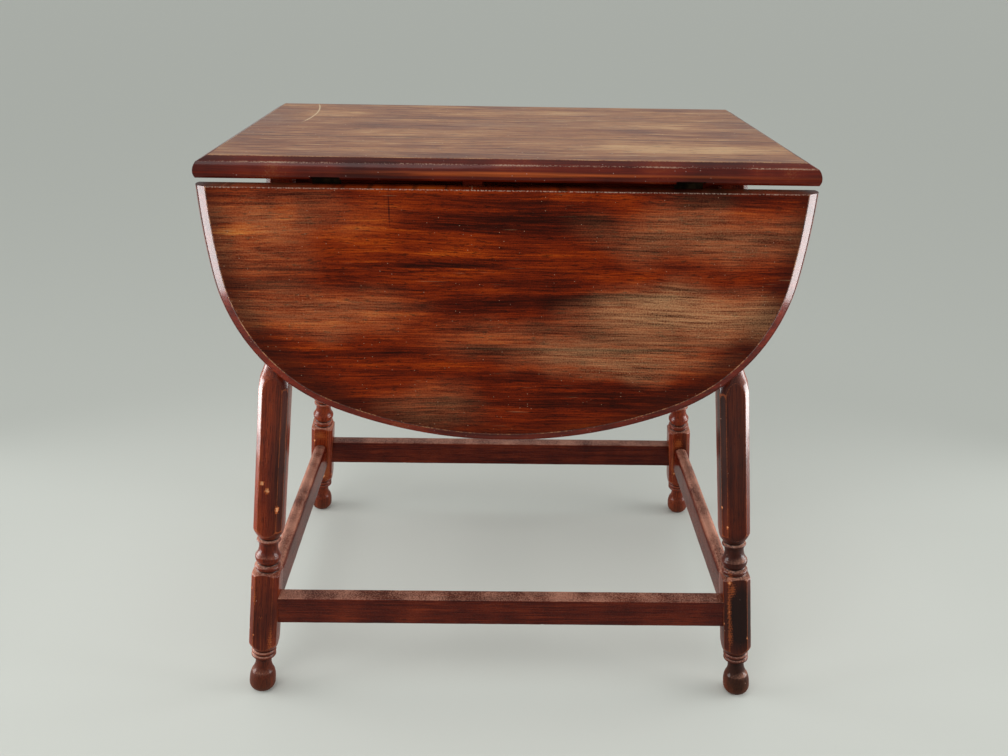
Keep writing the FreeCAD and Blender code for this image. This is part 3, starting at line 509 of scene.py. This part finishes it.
def frame_finish(name, tone_start, gloss, dust_amount, along, own_grain=False):
    """Stained and varnished mahogany of the legs, stretchers and rails: dark red, glossy above and duller
    near the floor, with orange wood along worn arrises, pale bare wood in the chips, near black in the
    turned grooves, nearly black patches that are mostly painted shade and partly grime, and dust on what
    faces up."""
    material, tree, shader = start_finish(name, Specular_IOR_Level=0.06, Coat_Roughness=0.18)
    place = add(tree, "TexCoord", out="Object")
    z = add(tree, "SeparateXYZ", {0: place}, out="Z")
    if own_grain:
        place = add(tree, "Attribute", out="Vector", attribute_name="grain")
    wear, chip, groove, darkening, scuff = (add(tree, "Attribute", out="Fac", attribute_name=key)
                                        for key in ("wear", "chip", "groove", "darkening", "scuff"))
    sway = swayed(tree, place, width=120, amount=5)
    broad, fine, hair, pores = grain_layers(
        tree, sway, along, ((7, 170, 3), (1.6, 70, 3), (0.8, 40, 2), (0.9, 12, 2)))
    stain, grit = stain_and_grit(tree, place, stain_size=42, grit_size=1.5)
    up = add(tree, "SeparateXYZ", {0: add(tree, "NewGeometry", out="Normal")}, out="Z")
    tone = mixed_tone(tree, tone_start, ((broad, 0.6), (fine, 0.7), (hair, 0.5), (stain, 0.5)))
    wood = add(tree, "ValToRGB", {0: tone}, stops=(
        (0.0, "#200804"), (0.3, "#420F06"), (0.55, "#60200D"), (0.8, "#7A3015"), (1.0, "#924A24")))
    pore = add(tree, "MapRange", {0: pores, 1: 0.44, 2: 0.34, 4: 0.6})
    worn = mixed_tone(tree, -0.45, ((wear, 0.7), (stain, 0.8), (grit, 0.8)))
    paleness = add(tree, "MapRange", {0: worn, 1: 0.62, 2: 1.0, 4: 0.8}, interpolation_type="SMOOTHSTEP")
    knocked = mixed_tone(tree, -0.45, ((chip, 1.0), (grit, 0.9)))
    bruised = add(tree, "MapRange", {0: knocked, 1: 0.22, 2: 0.45})
    bare = add(tree, "MapRange", {0: knocked, 1: 0.6, 2: 0.8, 4: 0.8})
    level = add(tree, "MapRange", {0: up, 1: 0.35, 2: 0.85, 4: dust_amount}, interpolation_type="SMOOTHSTEP")
    scatter = mixed_tone(tree, 0.0, ((grit, 1.0), (stain, 0.9)))
    strewn = add(tree, "MapRange", {0: scatter, 1: 0.78, 2: 1.15, 3: 0.1, 4: 1.0})
    dust = add(tree, "Math", {0: level, 1: strewn}, operation="MULTIPLY")
    fleck = specks(tree, place, spacing=6, size=0.6, share=0.12)
    soiled = add(tree, "MapRange", {0: grit, 1: 0.3, 2: 0.7, 4: 0.85})
    dirty = add(tree, "Math", {0: scuff, 1: soiled}, operation="MULTIPLY")
    # Painted shade, partly grime: the dark patches laid nearly black over the wood
    shaded = add(tree, "Math", {0: darkening, 1: 0.96}, operation="MULTIPLY")
    colour = painted(tree, wood, (
        (pore, "#180502"), (shaded, "#120503"), (groove, "#0E0403"), (paleness, "#83401E"), (dirty, "#432817"),
        (bruised, "#964A20"), (bare, "#C18A60"), (dust, "#B4826E"), (fleck, "#B48E7C")))
    shine = add(tree, "MapRange", {0: z, 1: LEG_DULL_Z, 2: LEG_SHINY_Z, 3: 0.5 * gloss, 4: gloss})
    tree.links.new(shine, shader.inputs["Coat Weight"])
    roughness = mixed_tone(tree, 0.14, (
        (grit, 0.24), (bare, 0.3), (dust, 0.5), (groove, 0.2), (darkening, 0.4), (scuff, 0.3)))
    height = mixed_tone(tree, 0.0, ((fine, 0.6), (pore, -0.6), (grit, 0.35), (bare, -0.8)))
    end_finish(tree, shader, colour, roughness, height, depth=0.16)
    return material


def board_grain(tree, place, level, glue_lines, first, step):
    """The place where a board reads its grain, so that no two boards are alike: pushed on by a step times
    the board's number, which is a first number and one more for each glue line that the level is over."""
    over = [add(tree, "Math", {0: level, 1: line}, operation="GREATER_THAN") for line in glue_lines]
    board = mixed_tone(tree, first, [(past, 1.0) for past in over])
    shift = add(tree, "VectorMath", {0: step, "Scale": board}, operation="SCALE")
    return add(tree, "VectorMath", {0: place, 1: shift}, operation="ADD")


def leaf_place(tree):
    """Where a point lies on its leaf: its place on the flat, the place of its own board's grain, X turned
    so that both leaves read alike, how far Y lies from the middle, and Z."""
    place = add(tree, "TexCoord", out="Object")
    x, y, z = (add(tree, "SeparateXYZ", {0: place}, out=key) for key in "XYZ")
    side = add(tree, "Math", {0: y}, operation="SIGN")
    depth = add(tree, "Math", {0: y}, operation="ABSOLUTE")
    sided = add(tree, "Math", {0: x, 1: side}, operation="MULTIPLY")
    turned = add(tree, "Math", {0: sided, 1: -1.0}, operation="MULTIPLY")
    flat = add(tree, "CombineXYZ", {0: turned, 1: 0.0, 2: z})
    # Boards are numbered from -3 on the front leaf and from 3 on the back one.
    first = mixed_tone(tree, 0.0, ((side, 3.0),))
    own = board_grain(tree, flat, z, LEAF_GLUE_LINES, first, LEAF_BOARD_SHIFT)
    return flat, own, turned, depth, z


def leaf_finish(name):
    """Varnished mahogany of the leaves: red-brown with orange figure and dark lines along X, darker at the
    rim, dulled by a dusty bloom and fine scratches in places, with a broken line of dust along the hinge
    edge."""
    material, tree, shader = start_finish(name, Specular_IOR_Level=0.06)
    flat, own, x, depth, z = leaf_place(tree)
    sway = swayed(tree, own, width=230, amount=16)
    broad, band, fine, hair, pores = grain_layers(
        tree, sway, 0, ((15, 300, 3), (4.2, 170, 3), (1.7, 80, 3), (1.1, 40, 2), (1.3, 9, 2)))
    stain, grit = stain_and_grit(tree, own, stain_size=60, grit_size=1.6)
    tone = mixed_tone(tree, -1.33, (
        (broad, 0.9), (band, 0.6), (fine, 0.5), (hair, 0.7), (stain, 0.45), (grit, 0.3)))
    tone = patches(tree, flat, tone, LEAF_FIGURE)
    wood = add(tree, "ValToRGB", {0: tone}, stops=(
        (0.0, "#260803"), (0.22, "#471104"), (0.42, "#6C1F05"), (0.62, "#8C3207"), (0.82, "#AC5012"),
        (1.0, "#C47026")))
    scatter = mixed_tone(tree, 0.0, ((grit, 0.7), (hair, 0.7), (band, 0.5)))
    thin = add(tree, "MapRange", {0: scatter, 1: 0.75, 2: 1.25, 3: 0.05, 4: 1.0})
    haze = in_patches(tree, swayed(tree, flat, width=60, amount=40), LEAF_BLOOM, thin)
    # The leaf's outline is close to |x / half width|^2.1 + (drop / full drop)^2.3 = 1.
    drop = add(tree, "MapRange", {0: z, 1: LEAF_UPPER_Z, 2: LEAF_LOWER_Z})
    aside = add(tree, "Math", {0: x}, operation="ABSOLUTE")
    wide = add(tree, "Math", {0: aside, 1: TOP_HALF_X}, operation="DIVIDE")
    wide_power = add(tree, "Math", {0: wide, 1: 2.1}, operation="POWER")
    drop_power = add(tree, "Math", {0: drop, 1: 2.3}, operation="POWER")
    outline = mixed_tone(tree, -0.1, ((wide_power, 1.0), (drop_power, 1.0), (stain, 0.2)))
    rim = add(tree, "MapRange", {0: outline, 1: 0.74, 2: 0.95, 4: 0.7}, interpolation_type="SMOOTHSTEP")
    pore = add(tree, "MapRange", {0: pores, 1: 0.45, 2: 0.33, 4: 0.7})
    fleck = specks(tree, flat, spacing=4, size=0.5, share=0.2)
    marred = add(tree, "MapRange", {0: stain, 1: 0.48, 2: 0.62, 4: 0.4})
    scored = scratches(tree, own, turn=(0, 0.9, 0), spacing=1.3, length=50, strength=marred)
    at_hinges = add(tree, "Math", {0: z, 1: LEAF_UPPER_Z, 2: HINGE_DUST_Z}, operation="COMPARE")
    at_face = add(tree, "Math", {0: depth, 1: LEAF_FACE_Y, 2: HINGE_DUST_Y}, operation="COMPARE")
    hinge_arris = add(tree, "Math", {0: at_hinges, 1: at_face}, operation="MULTIPLY")
    broken = add(tree, "MapRange", {0: grit, 1: 0.42, 2: 0.66, 4: 0.8})
    edge_dust = add(tree, "Math", {0: hinge_arris, 1: broken}, operation="MULTIPLY")
    colour = painted(tree, wood, (
        (pore, "#1E0703"), (rim, "#2A0D07"), (haze, "#BC9066"), (scored, "#B58A64"), (fleck, "#A9866C"),
        (edge_dust, "#B8A090")))
    roughness = mixed_tone(tree, 0.24, ((grit, 0.16), (stain, 0.12), (haze, 0.3)))
    height = mixed_tone(tree, 0.0, ((fine, 0.5), (pore, -0.7), (grit, 0.2)))
    end_finish(tree, shader, colour, roughness, height, depth=0.1)
    return material


def moulding_finish(name, gloss):
    """Thick old varnish on the moulded edges, over dark red end and side grain: deep colour, highlights as
    hard as its gloss but dull low on the leaves, a painted orange highlight along the roll, and dust caught
    along the ledge."""
    material, tree, shader = start_finish(name, Specular_IOR_Level=0.06, Coat_Roughness=0.12, Coat_IOR=1.5)
    place = add(tree, "TexCoord", out="Object")
    broad, fine = grain_layers(tree, place, 0, ((9, 240, 3), (2.0, 60, 3)))
    stain, grit = stain_and_grit(tree, place, stain_size=50, grit_size=1.6)
    tone = mixed_tone(tree, -0.6, ((broad, 0.7), (fine, 0.6), (stain, 0.9)))
    wood = add(tree, "ValToRGB", {0: tone}, stops=(
        (0.0, "#1C0503"), (0.35, "#3E0C04"), (0.65, "#601908"), (1.0, "#863410")))
    z = add(tree, "SeparateXYZ", {0: place}, out="Z")
    on_ledge = add(tree, "Math", {0: z, 1: MOULDING_LEDGE_Z, 2: LEDGE_HALF_WIDTH}, operation="COMPARE")
    scatter = mixed_tone(tree, 0.0, ((grit, 0.8), (stain, 0.6)))
    settled = add(tree, "MapRange", {0: scatter, 1: 0.68, 2: 0.86, 4: 0.8})
    caught = add(tree, "Math", {0: on_ledge, 1: settled}, operation="MULTIPLY")
    fleck = specks(tree, place, spacing=3.5, size=0.5, share=0.16)
    streaky = add(tree, "MapRange", {0: broad, 1: 0.35, 2: 0.6})
    # A painted highlight: the orange band along the roll
    paleness = in_patches(tree, place, ROLL_PAINTED_GLOW, streaky)
    knocks = mixed_tone(tree, 0.0, ((grit, 0.6), (stain, 0.8)))
    chafed = add(tree, "MapRange", {0: knocks, 1: 0.86, 2: 0.98, 4: 0.6})
    colour = painted(tree, wood, (
        (paleness, "#BE5A22"), (chafed, "#7A4426"), (caught, "#B4917A"), (fleck, "#B7958A")))
    shine = add(tree, "MapRange", {0: z, 1: LEAF_DULL_Z, 2: LEAF_SHINY_Z, 3: 0.3 * gloss, 4: gloss})
    tree.links.new(shine, shader.inputs["Coat Weight"])
    roughness = mixed_tone(tree, 0.14, ((grit, 0.16), (caught, 0.5)))
    height = mixed_tone(tree, 0.0, ((fine, 0.4), (grit, 0.3)))
    end_finish(tree, shader, colour, roughness, height, depth=0.08)
    return material


def arris_finish(name):
    """Varnish rubbed through to bare wood along the arrises: orange-tan and patchy on the top, darker on the
    leaves."""
    material, tree, shader = start_finish(name, Specular_IOR_Level=0.3)
    place = add(tree, "TexCoord", out="Object")
    z = add(tree, "SeparateXYZ", {0: place}, out="Z")
    stain, grit = stain_and_grit(tree, place, stain_size=30, grit_size=2.2)
    scatter = mixed_tone(tree, 0.0, ((grit, 0.8), (stain, 0.8)))
    paleness = add(tree, "MapRange", {0: scatter, 1: 0.6, 2: 0.95})
    wood = add(tree, "ValToRGB", {0: paleness}, stops=((0.0, "#4A1A0C"), (0.5, "#8A5230"), (1.0, "#B98A5C")))
    leaf_edge = add(tree, "Math", {0: z, 1: LEAF_ARRIS_Z}, operation="LESS_THAN")
    dark = add(tree, "ValToRGB", {0: paleness}, stops=((0.0, "#2A0C06"), (0.6, "#4E2212"), (1.0, "#8A5A38")))
    colour = painted(tree, wood, ((leaf_edge, dark),))
    end_finish(tree, shader, colour, mixed_tone(tree, 0.35, ((grit, 0.3),)), grit, depth=0.1)
    return material


def top_finish(name):
    """Worn mahogany of the top: the varnish is rubbed dull and grey-brown on the flat, with lighter patches
    that are partly wear and partly a painted sheen, tan streaks along the grain, redder towards the ends,
    dark glue lines, and scratches and specks all over."""
    material, tree, shader = start_finish(name, Specular_IOR_Level=0.45)
    place = add(tree, "TexCoord", out="Object")
    y = add(tree, "SeparateXYZ", {0: place}, out="Y")
    own = board_grain(tree, place, y, TOP_GLUE_LINES, 0.0, TOP_BOARD_SHIFT)
    sway = swayed(tree, own, width=260, amount=12)
    broad, band, fine, hair, pores = grain_layers(
        tree, sway, 0, ((22, 320, 3), (9, 150, 4), (5, 90, 3), (3, 45, 2), (3, 18, 2)))
    stain, grit = stain_and_grit(tree, own, stain_size=80, grit_size=2.2)
    tone = mixed_tone(tree, -1.0, ((broad, 0.6), (band, 0.7), (fine, 0.75), (hair, 0.75), (stain, 0.5)))
    # Lighter and darker patches: wear, and partly a painted sheen
    tone = patches(tree, place, tone, TOP_WEAR_AND_SHEEN)
    wood = add(tree, "ValToRGB", {0: tone}, stops=(
        (0.0, "#421A0D"), (0.3, "#66341D"), (0.55, "#875030"), (0.8, "#A9734A"), (1.0, "#C89A6C")))
    streaky = add(tree, "MapRange", {0: band, 1: 0.35, 2: 0.65})
    reddened = in_patches(tree, swayed(tree, place, width=30, amount=40), TOP_RED, streaky)
    pore = add(tree, "MapRange", {0: pores, 1: 0.43, 2: 0.33, 4: 0.5})
    crests = mixed_tone(tree, 0.0, ((hair, 0.9), (band, 0.3)))
    pale = add(tree, "MapRange", {0: crests, 1: 0.7, 2: 0.8, 4: 0.55})
    fleck = specks(tree, place, spacing=7, size=1.0, share=0.2)
    marred = add(tree, "MapRange", {0: stain, 1: 0.46, 2: 0.62, 4: 0.45})
    scored = scratches(tree, own, turn=(0, 0, 0.7), spacing=1.6, length=60, strength=marred)
    on_glue = [add(tree, "Math", {0: y, 1: line, 2: GLUE_HALF_WIDTH}, operation="COMPARE")
               for line in TOP_GLUE_LINES]
    glue = mixed_tone(tree, 0.0, [(near, 0.8) for near in on_glue])
    reach = add(tree, "VectorMath", {0: place, 1: SCRATCH_CENTRE}, out="Value", operation="DISTANCE")
    arc = add(tree, "Math", {0: reach, 1: SCRATCH_RADIUS, 2: SCRATCH_HALF_WIDTH}, operation="COMPARE")
    curved = in_patches(tree, place, SCRATCH_STRETCH, arc)
    colour = painted(tree, wood, (
        (reddened, "#55211A"), (pore, "#331A10"), (pale, "#C2A07A"), (scored, "#C4A486"), (glue, "#2C140C"),
        (fleck, "#CDB49A"), (curved, "#D2B48E")))
    roughness = mixed_tone(tree, 0.36, ((grit, 0.16), (stain, 0.14), (reddened, -0.12)))
    height = mixed_tone(tree, 0.0, ((fine, 0.6), (pore, -0.7), (grit, 0.3), (scored, -0.4)))
    end_finish(tree, shader, colour, roughness, height, depth=0.12)
    return material


def bare_finish(name):
    """Unfinished beech of the hidden pieces: pale brown, short dark flecks along the grain, grimy with
    age."""
    material, tree, shader = start_finish(name, Specular_IOR_Level=0.3)
    place = add(tree, "TexCoord", out="Object")
    broad, fine, pores = grain_layers(tree, place, 2, ((7, 120, 3), (2, 50, 3), (1.2, 9, 2)))
    stain = add(tree, "TexNoise", {"Vector": place, "Scale": 1 / (30 * MM), "Detail": 4.0})
    tone = mixed_tone(tree, -0.5, ((broad, 0.9), (fine, 0.5), (stain, 0.6)))
    wood = add(tree, "ValToRGB", {0: tone}, stops=((0.0, "#5A3A22"), (0.5, "#8A6340"), (1.0, "#A98357")))
    darkening = add(tree, "MapRange", {0: stain, 1: 0.48, 2: 0.7, 4: 0.6})
    fleck = add(tree, "MapRange", {0: pores, 1: 0.42, 2: 0.32, 4: 0.6})
    colour = painted(tree, wood, ((fleck, "#4A2E1A"), (darkening, "#4E3524")))
    roughness = mixed_tone(tree, 0.5, ((stain, 0.3),))
    height = mixed_tone(tree, 0.0, ((fine, 0.6), (fleck, -0.6)))
    end_finish(tree, shader, colour, roughness, height, depth=0.15)
    return material


def metal_finish(name, tones, tarnish, stain_size):
    """Old metal fittings: bright where rubbed, dulled by brown tarnish in blotches, with fine pitting."""
    material, tree, shader = start_finish(name, Metallic=1.0)
    place = add(tree, "TexCoord", out="Object")
    stain = add(tree, "TexNoise", {"Vector": place, "Scale": 1 / (stain_size * MM), "Detail": 5.0})
    grit = add(tree, "TexNoise", {"Vector": place, "Scale": 1 / (0.6 * MM), "Detail": 3.0})
    blotch = add(tree, "MapRange", {0: stain, 1: 0.35, 2: 0.65})
    metal = add(tree, "ValToRGB", {0: blotch}, stops=tones)
    pit = add(tree, "MapRange", {0: grit, 1: 0.5, 2: 0.64, 4: 0.6})
    colour = painted(tree, metal, ((pit, tarnish),))
    end_finish(tree, shader, colour, mixed_tone(tree, 0.3, ((stain, 0.3), (grit, 0.2))), grit, depth=0.05)
    return material


# Marks on the leaves and the top: centre and half sizes in millimetres, then how far a mark lifts or dulls
LEAF_FIGURE = (
    ((-120, 0, 572), (130, 0, 20), 0.14), ((-50, 0, 565), (70, 0, 10), 0.18),
    ((30, 0, 600), (120, 0, 30), -0.24), ((-140, 0, 597), (40, 0, 16), 0.16),
    ((-217, 0, 603), (16, 0, 26), 0.18), ((-270, 0, 586), (40, 0, 10), 0.16),
    ((-50, 0, 594), (90, 0, 12), -0.22), ((-100, 0, 551), (130, 0, 4), -0.3),
    ((190, 0, 622), (120, 0, 14), -0.18), ((34, 0, 516), (120, 0, 40), -0.14),
    ((130, 0, 520), (90, 0, 7), -0.22), ((145, 0, 409), (90, 0, 20), -0.12),
    ((190, 0, 455), (70, 0, 10), 0.18), ((-230, 0, 530), (60, 0, 14), -0.1),
    ((-27, 0, 400), (230, 0, 60), -0.12), ((60, 0, 461), (220, 0, 2.5), -0.25),
    ((-116, 0, 607), (1.2, 0, 22), -0.3), ((-190, 0, 500), (140, 0, 40), 0.14),
    ((-250, 0, 575), (80, 0, 60), 0.1))
LEAF_BLOOM = (
    ((180, 0, 500), (150, 0, 46), 0.85), ((121, 0, 448), (140, 0, 32), 0.6),
    ((-250, 0, 575), (80, 0, 70), 0.25), ((-190, 0, 500), (130, 0, 40), 0.32),
    ((190, 0, 585), (150, 0, 46), 0.4), ((-80, 0, 394), (80, 0, 38), 0.2),
    ((-200, 0, 600), (110, 0, 36), 0.15), ((20, 0, 470), (140, 0, 36), 0.2))
# Patches of the top: wear, and partly a painted sheen where the finish mirrors a pale backdrop, most at the
# back left and the middle right
TOP_WEAR_AND_SHEEN = (
    ((199, -114, 0), (170, 40, 0), 0.29), ((55, -97, 0), (150, 28, 0), 0.2),
    ((43, 121, 0), (180, 30, 0), 0.22), ((-218, 90, 0), (60, 40, 0), 0.18),
    ((-125, 14, 0), (130, 30, 0), -0.16), ((-261, -93, 0), (60, 40, 0), -0.1),
    ((150, 30, 0), (140, 30, 0), 0.2))
TOP_RED = (
    ((-290, 0, 0), (60, 190, 0), 0.6), ((300, 60, 0), (70, 150, 0), 0.4),
    ((-60, -160, 0), (240, 24, 0), 0.5), ((0, 20, 0), (200, 40, 0), 0.3))
# The orange band along the top's front roll: a painted highlight, the glow of light through the varnish
ROLL_PAINTED_GLOW = (((-20, -186, 641.5), (200, 40, 3.2), 1.0), ((200, -186, 641.5), (160, 40, 2.4), 0.4))
# The long curved scratch at the left end of the top: a thin arc about a centre, and the patch where it shows
SCRATCH_CENTRE = (-578 * MM, 82 * MM, TABLE_HEIGHT)
SCRATCH_RADIUS, SCRATCH_HALF_WIDTH = 342 * MM, 0.9 * MM
SCRATCH_STRETCH = (((-240, 100, 0), (60, 84, 0), 3.0),)
# How far apart, in metres, neighbouring boards of a leaf and of the top read their grain
LEAF_BOARD_SHIFT, TOP_BOARD_SHIFT = (0.61, 0.0, 0.29), (0.9, 0.37, 0.0)
# How near a point is to the hinge edge, the moulding's ledge or a glue line to take its dust or grime
HINGE_DUST_Z, HINGE_DUST_Y = 0.9 * MM, 1.1 * MM
LEDGE_HALF_WIDTH, GLUE_HALF_WIDTH = 0.5 * MM, 1.1 * MM

leg_finish = frame_finish(
    "stained_mahogany_legs", tone_start=-0.57, gloss=0.36, dust_amount=0.75, along=2, own_grain=True)
stretcher_finish = frame_finish(
    "stained_mahogany_stretchers", tone_start=-0.78, gloss=0.28, dust_amount=0.85, along=2, own_grain=True)
# The long rails are toned darker than the end rails: painted shade for the dark gap under the top where they
# show
long_rail_finish = frame_finish(
    "stained_mahogany_long_rails", tone_start=-0.85, gloss=0.2, dust_amount=0.4, along=0)
end_rail_finish = frame_finish(
    "stained_mahogany_end_rails", tone_start=-0.75, gloss=0.2, dust_amount=0.4, along=1)
leaf_face = leaf_finish("varnished_mahogany_leaf")
top_face = top_finish("worn_mahogany_top")
leaf_moulding = moulding_finish("glossy_mahogany_leaf_moulding", gloss=0.44)
top_moulding = moulding_finish("glossy_mahogany_top_moulding", gloss=0.3)
rubbed_arris = arris_finish("rubbed_mahogany_arris")
hidden_finish = bare_finish("aged_bare_beech")
# The brass is toned nearly black: tarnish, and painted shade for the dark gap under the top where the hinges
# hang
brass_finish = metal_finish(
    "tarnished_brass_and_painted_shade", ((0.0, "#120E0B"), (0.5, "#211A13"), (1.0, "#3A2E20")),
    tarnish="#0E0A08", stain_size=9)
steel_finish = metal_finish(
    "dull_screw_steel", ((0.0, "#3A332D"), (0.5, "#6A645D"), (1.0, "#8C867E")),
    tarnish="#4A2A1A", stain_size=3)

# Pieces

# Chips, scrapes and dark patches on each leg, by the hand and side where it stands: height, angle,
# half length, half width and amount. The dark patches are mostly painted shade, on chamfers and faces turned
# from the light, over the right-hand legs and under the top, and partly grime.
LEG_MARKS = {
    (-1, -1): (
        ((289, -114, 2.6, 2.0, 1), (280, -93, 3.0, 2.4, 1), (257, -54, 4.0, 2.0, 1),
         (149, -142, 1.6, 0.8, 1)),
        ((83, -57, 14, 2.0, 1), (138, -123, 9, 1.4, 1), (112, -98, 1.2, 7.0, 0.8)),
        ((300, -40, 110, 11, 0.85), (108, -84, 56, 20, 0.5), (30, -90, 34, 24, 0.5), (622, 180, 26, 22, 1))),
    (1, -1): (
        ((166, -122, 2.4, 1.6, 1), (240, -126, 1.6, 1.0, 1)),
        ((172, -124, 6, 3, 0.9), (128, -124, 26, 2.4, 0.9), (92, -122, 14, 3, 0.9), (157, -112, 8, 3, 0.9)),
        ((118, -80, 70, 30, 1), (200, -90, 40, 24, 0.85), (320, -90, 130, 18, 0.7),
         (340, -148, 120, 14, 0.9), (30, -90, 34, 24, 0.95), (622, 0, 26, 22, 1))),
    (-1, 1): (
        ((78, -75, 3.2, 2.4, 1), (147, -124, 2.0, 1.2, 1)),
        ((158, -100, 6, 8, 1), (84, -66, 12, 6, 1), (100, -57, 14, 3, 1)),
        ()),
    (1, 1): (
        ((90, -118, 2.0, 1.4, 1),),
        ((105, -124, 18, 3, 1), (150, -100, 8, 6, 1)),
        ((120, -70, 50, 14, 0.7),)),
}
# The end stretchers' upper arrises are rounded over far more than those of the long ones.
STRETCHERS = (("front", -1, LONG_UPPER_ROUND), ("back", 1, LONG_UPPER_ROUND),
              ("left", -1, END_UPPER_ROUND), ("right", 1, END_UPPER_ROUND))
FIRST_LEG_SEED, FIRST_STRETCHER_SEED = 3, 11
for seed, ((hand, side), (chips, scrapes, shade_and_grime_spots)) in enumerate(LEG_MARKS.items(), start=FIRST_LEG_SEED):
    make_leg(hand, side, chips, scrapes, shade_and_grime_spots, seed)
for seed, (word, side, upper_round) in enumerate(STRETCHERS, start=FIRST_STRETCHER_SEED):
    make_stretcher(word, side, upper_round, seed)

for count in (1, 2, 3):
    worn_board(f"top_board_{count}", "frame", [top_face, top_moulding, rubbed_arris],
               (0, 0, 1), TABLE_HEIGHT, (0, 1, 0), TOP_GLUE_LINES)
    for word, way in (("front", -1), ("back", 1)):
        worn_board(f"{word}_leaf_board_{count}", f"{word}_leaf",
                   [leaf_face, leaf_moulding, rubbed_arris], (0, way, 0), LEAF_FACE_Y, (0, 0, 1),
                   (*LEAF_GLUE_LINES, LEAF_UPPER_Z))

# The rails, hidden pieces and fittings keep their CAD meshes and get a finish by their slot.
SLOT_FINISHES = {"frame_mahogany": long_rail_finish, "hidden_beech": hidden_finish,
                 "hinge_brass": brass_finish, "screw_steel": steel_finish}
for part in frame["record"]["subparts"]:
    if part["material_slot"] in SLOT_FINISHES:
        node = frame["nodes"][part["node"]]
        node.data.materials.clear()
        end_rail = part["node"] in ("rail_left", "rail_right")
        node.data.materials.append(end_rail_finish if end_rail else SLOT_FINISHES[part["material_slot"]])


# Stage, light and camera

def make_floor():
    """A wide level floor, pale and matt, one flat face."""
    half = 30.0
    mesh = bpy.data.meshes.new("floor")
    corners = [(-half, -half, 0), (half, -half, 0), (half, half, 0), (-half, half, 0)]
    mesh.from_pydata(corners, [], [(0, 1, 2, 3)])
    material, _, shader = start_finish("pale_matt_floor", Roughness=0.8, Specular_IOR_Level=0.2)
    shader.inputs["Base Color"].default_value = linear("#C8CBC5")
    mesh.materials.append(material)
    floor = put_in_scene("floor", mesh)


def add_softbox(name, place, aim, width, height, power, spread):
    """A rectangular area lamp turned to face a place, its light kept within a spread in degrees."""
    data = bpy.data.lights.new(name, "AREA")
    data.shape = "RECTANGLE"
    data.size, data.size_y = width, height
    data.energy = power
    data.spread = math.radians(spread)
    lamp = put_in_scene(name, data)
    away = np.array(place) - np.array(aim)
    away = away / np.linalg.norm(away)
    side = np.cross((0.0, 0.0, 1.0), away)
    side = side / np.linalg.norm(side)
    up = np.cross(away, side)
    lamp.matrix_world = Matrix([[side[i], up[i], away[i], place[i]] for i in range(3)] + [[0, 0, 0, 1]])


def add_camera():
    """The camera where the fitted view of the top, leaf and feet puts it."""
    focal, picture_width, sensor = 880.0, 1008.0, 36.0
    pitch, yaw, roll = (math.radians(angle) for angle in (25.233, 0.650, 0.934))
    ahead = np.array([math.sin(yaw) * math.cos(pitch), math.cos(yaw) * math.cos(pitch), -math.sin(pitch)])
    level = np.array([math.cos(yaw), -math.sin(yaw), 0.0])
    upright = np.cross(level, ahead)
    right = math.cos(roll) * level + math.sin(roll) * upright
    up = -math.sin(roll) * level + math.cos(roll) * upright
    place = np.array([-10.71, -1039.03, 826.18]) * MM
    data = bpy.data.cameras.new("camera")
    data.sensor_width = sensor
    data.lens = sensor * focal / picture_width
    data.clip_start, data.clip_end = 0.05, 100.0
    camera = put_in_scene("camera", data)
    camera.matrix_world = Matrix([[right[i], up[i], -ahead[i], place[i]] for i in range(3)] + [[0, 0, 0, 1]])
    bpy.context.scene.camera = camera


make_floor()
add_softbox("key_softbox", place=(-0.7, -1.4, 2.4), aim=(0.0, 0.0, 0.4),
            width=1.6, height=1.2, power=16.0, spread=180)
# A low lamp at each side, which a hanging leaf's moulding mirrors as a pale band
for word, hand in (("left", -1), ("right", 1)):
    add_softbox(f"{word}_softbox", place=(hand * 1.25, -0.1, 0.29), aim=(hand * 0.3, -0.1, 0.45),
                width=0.95, height=0.52, power=7.4, spread=80)
world = bpy.data.worlds.new("soft_room")
bpy.context.scene.world = world
world.use_nodes = True
room = world.node_tree.nodes["Background"]
room.inputs["Color"].default_value = linear("#F0F2F0")
room.inputs["Strength"].default_value = 0.75
bpy.context.scene.view_settings.view_transform = "Standard"
add_camera()
